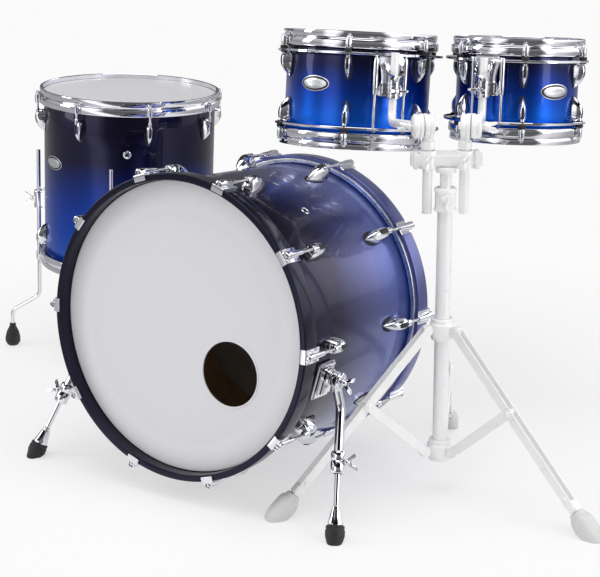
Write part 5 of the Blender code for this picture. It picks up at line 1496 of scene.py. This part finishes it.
def put_bass_end(word, head_word, finish, end, nodes, port):
    """A wooden hoop with its claws and rods, and the head under it."""
    body = "kit"
    half = BASS_DEPTH / 2
    low = half - BASS_DROP + GAP
    front = low + HOOP_WIDTH
    inner = BASS_RADIUS + HOOP_INNER
    outer = inner + HOOP_WALL
    hoop = rounded([(inner, front), (outer, front), (outer, low), (inner, low)], 0.0028, steps=4)
    put(f"bass_drum_{word}_wood_hoop", lathe(hoop, 200), finish, body, end, [nodes[0]])
    spots = around(BASS_LUGS, outer)
    claws = claw_parts(front, low)
    put(f"bass_drum_{word}_claws", copies(claws, spots), "chrome", body, end)
    lug_end = half - BASS_LUG_INSET + 0.30 * BASS_LUG[0]
    rod = cylinder(BASS_ROD_RADIUS, low - 0.012, lug_end, 16)
    rods = copies(rod, [m @ shift(BASS_ROD_OUT) for m in spots])
    put(f"bass_drum_{word}_rods", rods, "thread", body, end)
    put_head(
        f"bass_drum_{head_word}_film", BASS_RADIUS, BASS_DEPTH, BASS_DROP, "bass_film", body, end,
        nodes[1], port,
    )


def put_bass_drum(place):
    put_shell(
        "bass_drum_lacquered_shell", BASS_RADIUS, BASS_DEPTH, "bass_lacquer", "kit", place,
        "bass_drum_shell",
    )
    rod_out = HOOP_INNER + HOOP_WALL + BASS_ROD_OUT
    put_lugs(
        "bass_drum", BASS_RADIUS, BASS_DEPTH, BASS_LUGS, BASS_LUG_INSET, BASS_LUG, rod_out, "kit", place,
    )
    front_nodes = ("bass_drum_front_hoop", "bass_drum_front_head")
    rear_nodes = ("bass_drum_rear_hoop", "bass_drum_batter_head")
    # The front hoop gets the shaded copy of the hoops' lacquer and the rear hoop the lit copy: painted shade
    # and painted reflection.
    put_bass_end("front", "front_head", "front_hoop_lacquer_painted_shade", place, front_nodes, True)
    put_bass_end("rear", "batter_head", "rear_hoop_lacquer_painted_reflection", place @ FLIPPED, rear_nodes, False)
    put_vent("bass_drum", BASS_RADIUS, *BASS_VENT, "kit", place)


# Stage


def make_camera():
    data = bpy.data.cameras.new("camera")
    data.sensor_width = 36.0
    data.lens = FOCAL_PIXELS / IMAGE_WIDTH * data.sensor_width
    camera = bpy.data.objects.new("camera", data)
    bpy.context.scene.collection.objects.link(camera)
    yaw = math.radians(YAW)
    pitch = math.radians(PITCH)
    roll = math.radians(ROLL)
    back = Vector((math.sin(yaw) * math.cos(pitch), -math.cos(yaw) * math.cos(pitch), math.sin(pitch)))
    right = Vector((math.cos(yaw), math.sin(yaw), 0))
    up = back.cross(right)
    rolled_right = right * math.cos(roll) + up * math.sin(roll)
    rolled_up = up * math.cos(roll) - right * math.sin(roll)
    matrix = Matrix((rolled_right, rolled_up, back)).transposed().to_4x4()
    matrix.translation = EYE
    camera.matrix_world = matrix
    bpy.context.scene.camera = camera


def add_softbox(name, place, target, width, height, power):
    data = bpy.data.lights.new(name, "AREA")
    data.shape = "RECTANGLE"
    data.size = width
    data.size_y = height
    data.energy = power
    lamp = bpy.data.objects.new(name, data)
    bpy.context.scene.collection.objects.link(lamp)
    lamp.location = place
    lamp.rotation_mode = "QUATERNION"
    lamp.rotation_quaternion = (Vector(target) - Vector(place)).to_track_quat("-Z", "Y")


def background(world, colour, strength=1.0):
    node = node_of(world, "ShaderNodeBackground")
    node.inputs["Strength"].default_value = strength
    feed(world, colour, node.inputs["Color"])
    return node.outputs[0]


def make_world():
    """White to the camera, plain soft light, and bright and dark bands and strips in mirrors."""
    world = bpy.data.worlds.new("studio")
    bpy.context.scene.world = world
    world.use_nodes = True
    world.node_tree.nodes.clear()
    place = node_of(world, "ShaderNodeTexCoord").outputs["Generated"]
    height = spread(world, split_axes(world, place)["Z"], -1.0, 1.0)
    bands = grey_ramp(world, height, MIRROR_BANDS)
    strips = grey_ramp(world, compass(world, place), MIRROR_STRIPS)
    mirrored = background(world, mixed(world, 1.0, bands, strips, "MULTIPLY"))
    lit = background(world, (1.0, 1.0, 1.0), WORLD_LIGHT)
    path = node_of(world, "ShaderNodeLightPath").outputs
    in_mirrors = combined(world, "MAXIMUM", path["Is Glossy Ray"], path["Is Transmission Ray"])
    light = mixed_shaders(world, in_mirrors, lit, mirrored)
    everything = mixed_shaders(world, path["Is Camera Ray"], light, background(world, WHITE))
    feed(world, everything, node_of(world, "ShaderNodeOutputWorld").inputs[0])


def make_floor():
    mesh = lathe([(0, 0.0), (2.0, 0.0), (6.0, 0.0), (24.0, 0.0)], 64)
    material, shader = new_material("pale_floor", (0.90, 0.90, 0.90), 0.55)
    shader.inputs["Specular IOR Level"].default_value = 0.1
    place = object_place(material)
    distance = length_of(material, place)
    away = spread(material, distance, 0.65, 1.45, 0.60, 1.0)
    far = spread(material, distance, 0.95, 1.3)
    path = node_of(material, "ShaderNodeLightPath").outputs
    in_mirrors = combined(material, "MULTIPLY", far, path["Is Glossy Ray"])
    # In mirrors the floor far from the kit glows in bright and dark strips, some brighter than white:
    # painted reflections.
    strips = grey_ramp(material, compass(material, place), FLOOR_PAINTED_REFLECTION_STRIPS)
    glow = node_of(material, "ShaderNodeEmission")
    feed(material, mixed(material, in_mirrors, WHITE, strips), glow.inputs["Color"])
    seen = combined(material, "MAXIMUM", path["Is Camera Ray"], path["Is Glossy Ray"])
    share = combined(material, "MULTIPLY", away, seen)
    surface = mixed_shaders(material, share, shader.outputs[0], glow.outputs[0])
    feed(material, surface, material.node_tree.nodes["Material Output"].inputs[0])
    mesh.materials.append(material)
    floor = bpy.data.objects.new("floor", mesh)
    bpy.context.scene.collection.objects.link(floor)
    floor.location = (0, 0, -0.0005)


def main():
    bpy.context.scene.view_settings.view_transform = "Standard"
    make_camera()
    make_world()
    make_floor()
    for name, softbox in SOFTBOXES.items():
        add_softbox(name, *softbox)

    lean = math.radians(BASS_LEAN)
    bass = axes_matrix(Vector(BASS_CENTRE) + KIT_SHIFT, (0, -math.cos(lean), math.sin(lean)), (1, 0, 0))
    put_bass_drum(bass)
    put_spur("right", 1, bass)
    put_spur("left", -1, bass)
    floor_tom = leaned(FLOOR_CENTRE, FLOOR_LEAN, FLOOR_TURN)
    floor_sizes = (FLOOR_RADIUS, FLOOR_DEPTH, FLOOR_LUGS, FLOOR_LUG_INSET)
    put_tom("floor_tom", *floor_sizes, "floor_lacquer", "kit", floor_tom, FLOOR_BADGE)
    put_vent("floor_tom", FLOOR_RADIUS, *FLOOR_VENT, "kit", floor_tom)
    for number, lug_gap in enumerate(LEG_GAPS, start=1):
        put_floor_leg(number, (lug_gap + 0.5) * 360 / FLOOR_LUGS, floor_tom)
    left = leaned(LEFT_CENTRE, LEFT_LEAN, LEFT_TURN)
    right = leaned(RIGHT_CENTRE, RIGHT_LEAN, RIGHT_TURN)
    rack_toms = (
        ("left_tom", LEFT_RADIUS, LEFT_DEPTH, left, LEFT_BADGE, LEFT_ARM_TURN, -1),
        ("right_tom", RIGHT_RADIUS, RIGHT_DEPTH, right, RIGHT_BADGE, RIGHT_ARM_TURN, 1),
    )
    for name, radius, depth, place, badge, arm_turn, side in rack_toms:
        put_tom(name, radius, depth, RACK_LUGS, RACK_LUG_INSET, "rack_lacquer", name, place, badge)
        put_mount(name, radius, depth, arm_turn, name, place)
        put_arm_and_post(name, radius, depth, arm_turn, side, place)
    put_stand_column()
    for number, turn in enumerate(LEG_TURNS, start=1):
        put_stand_leg(number, turn)


main()
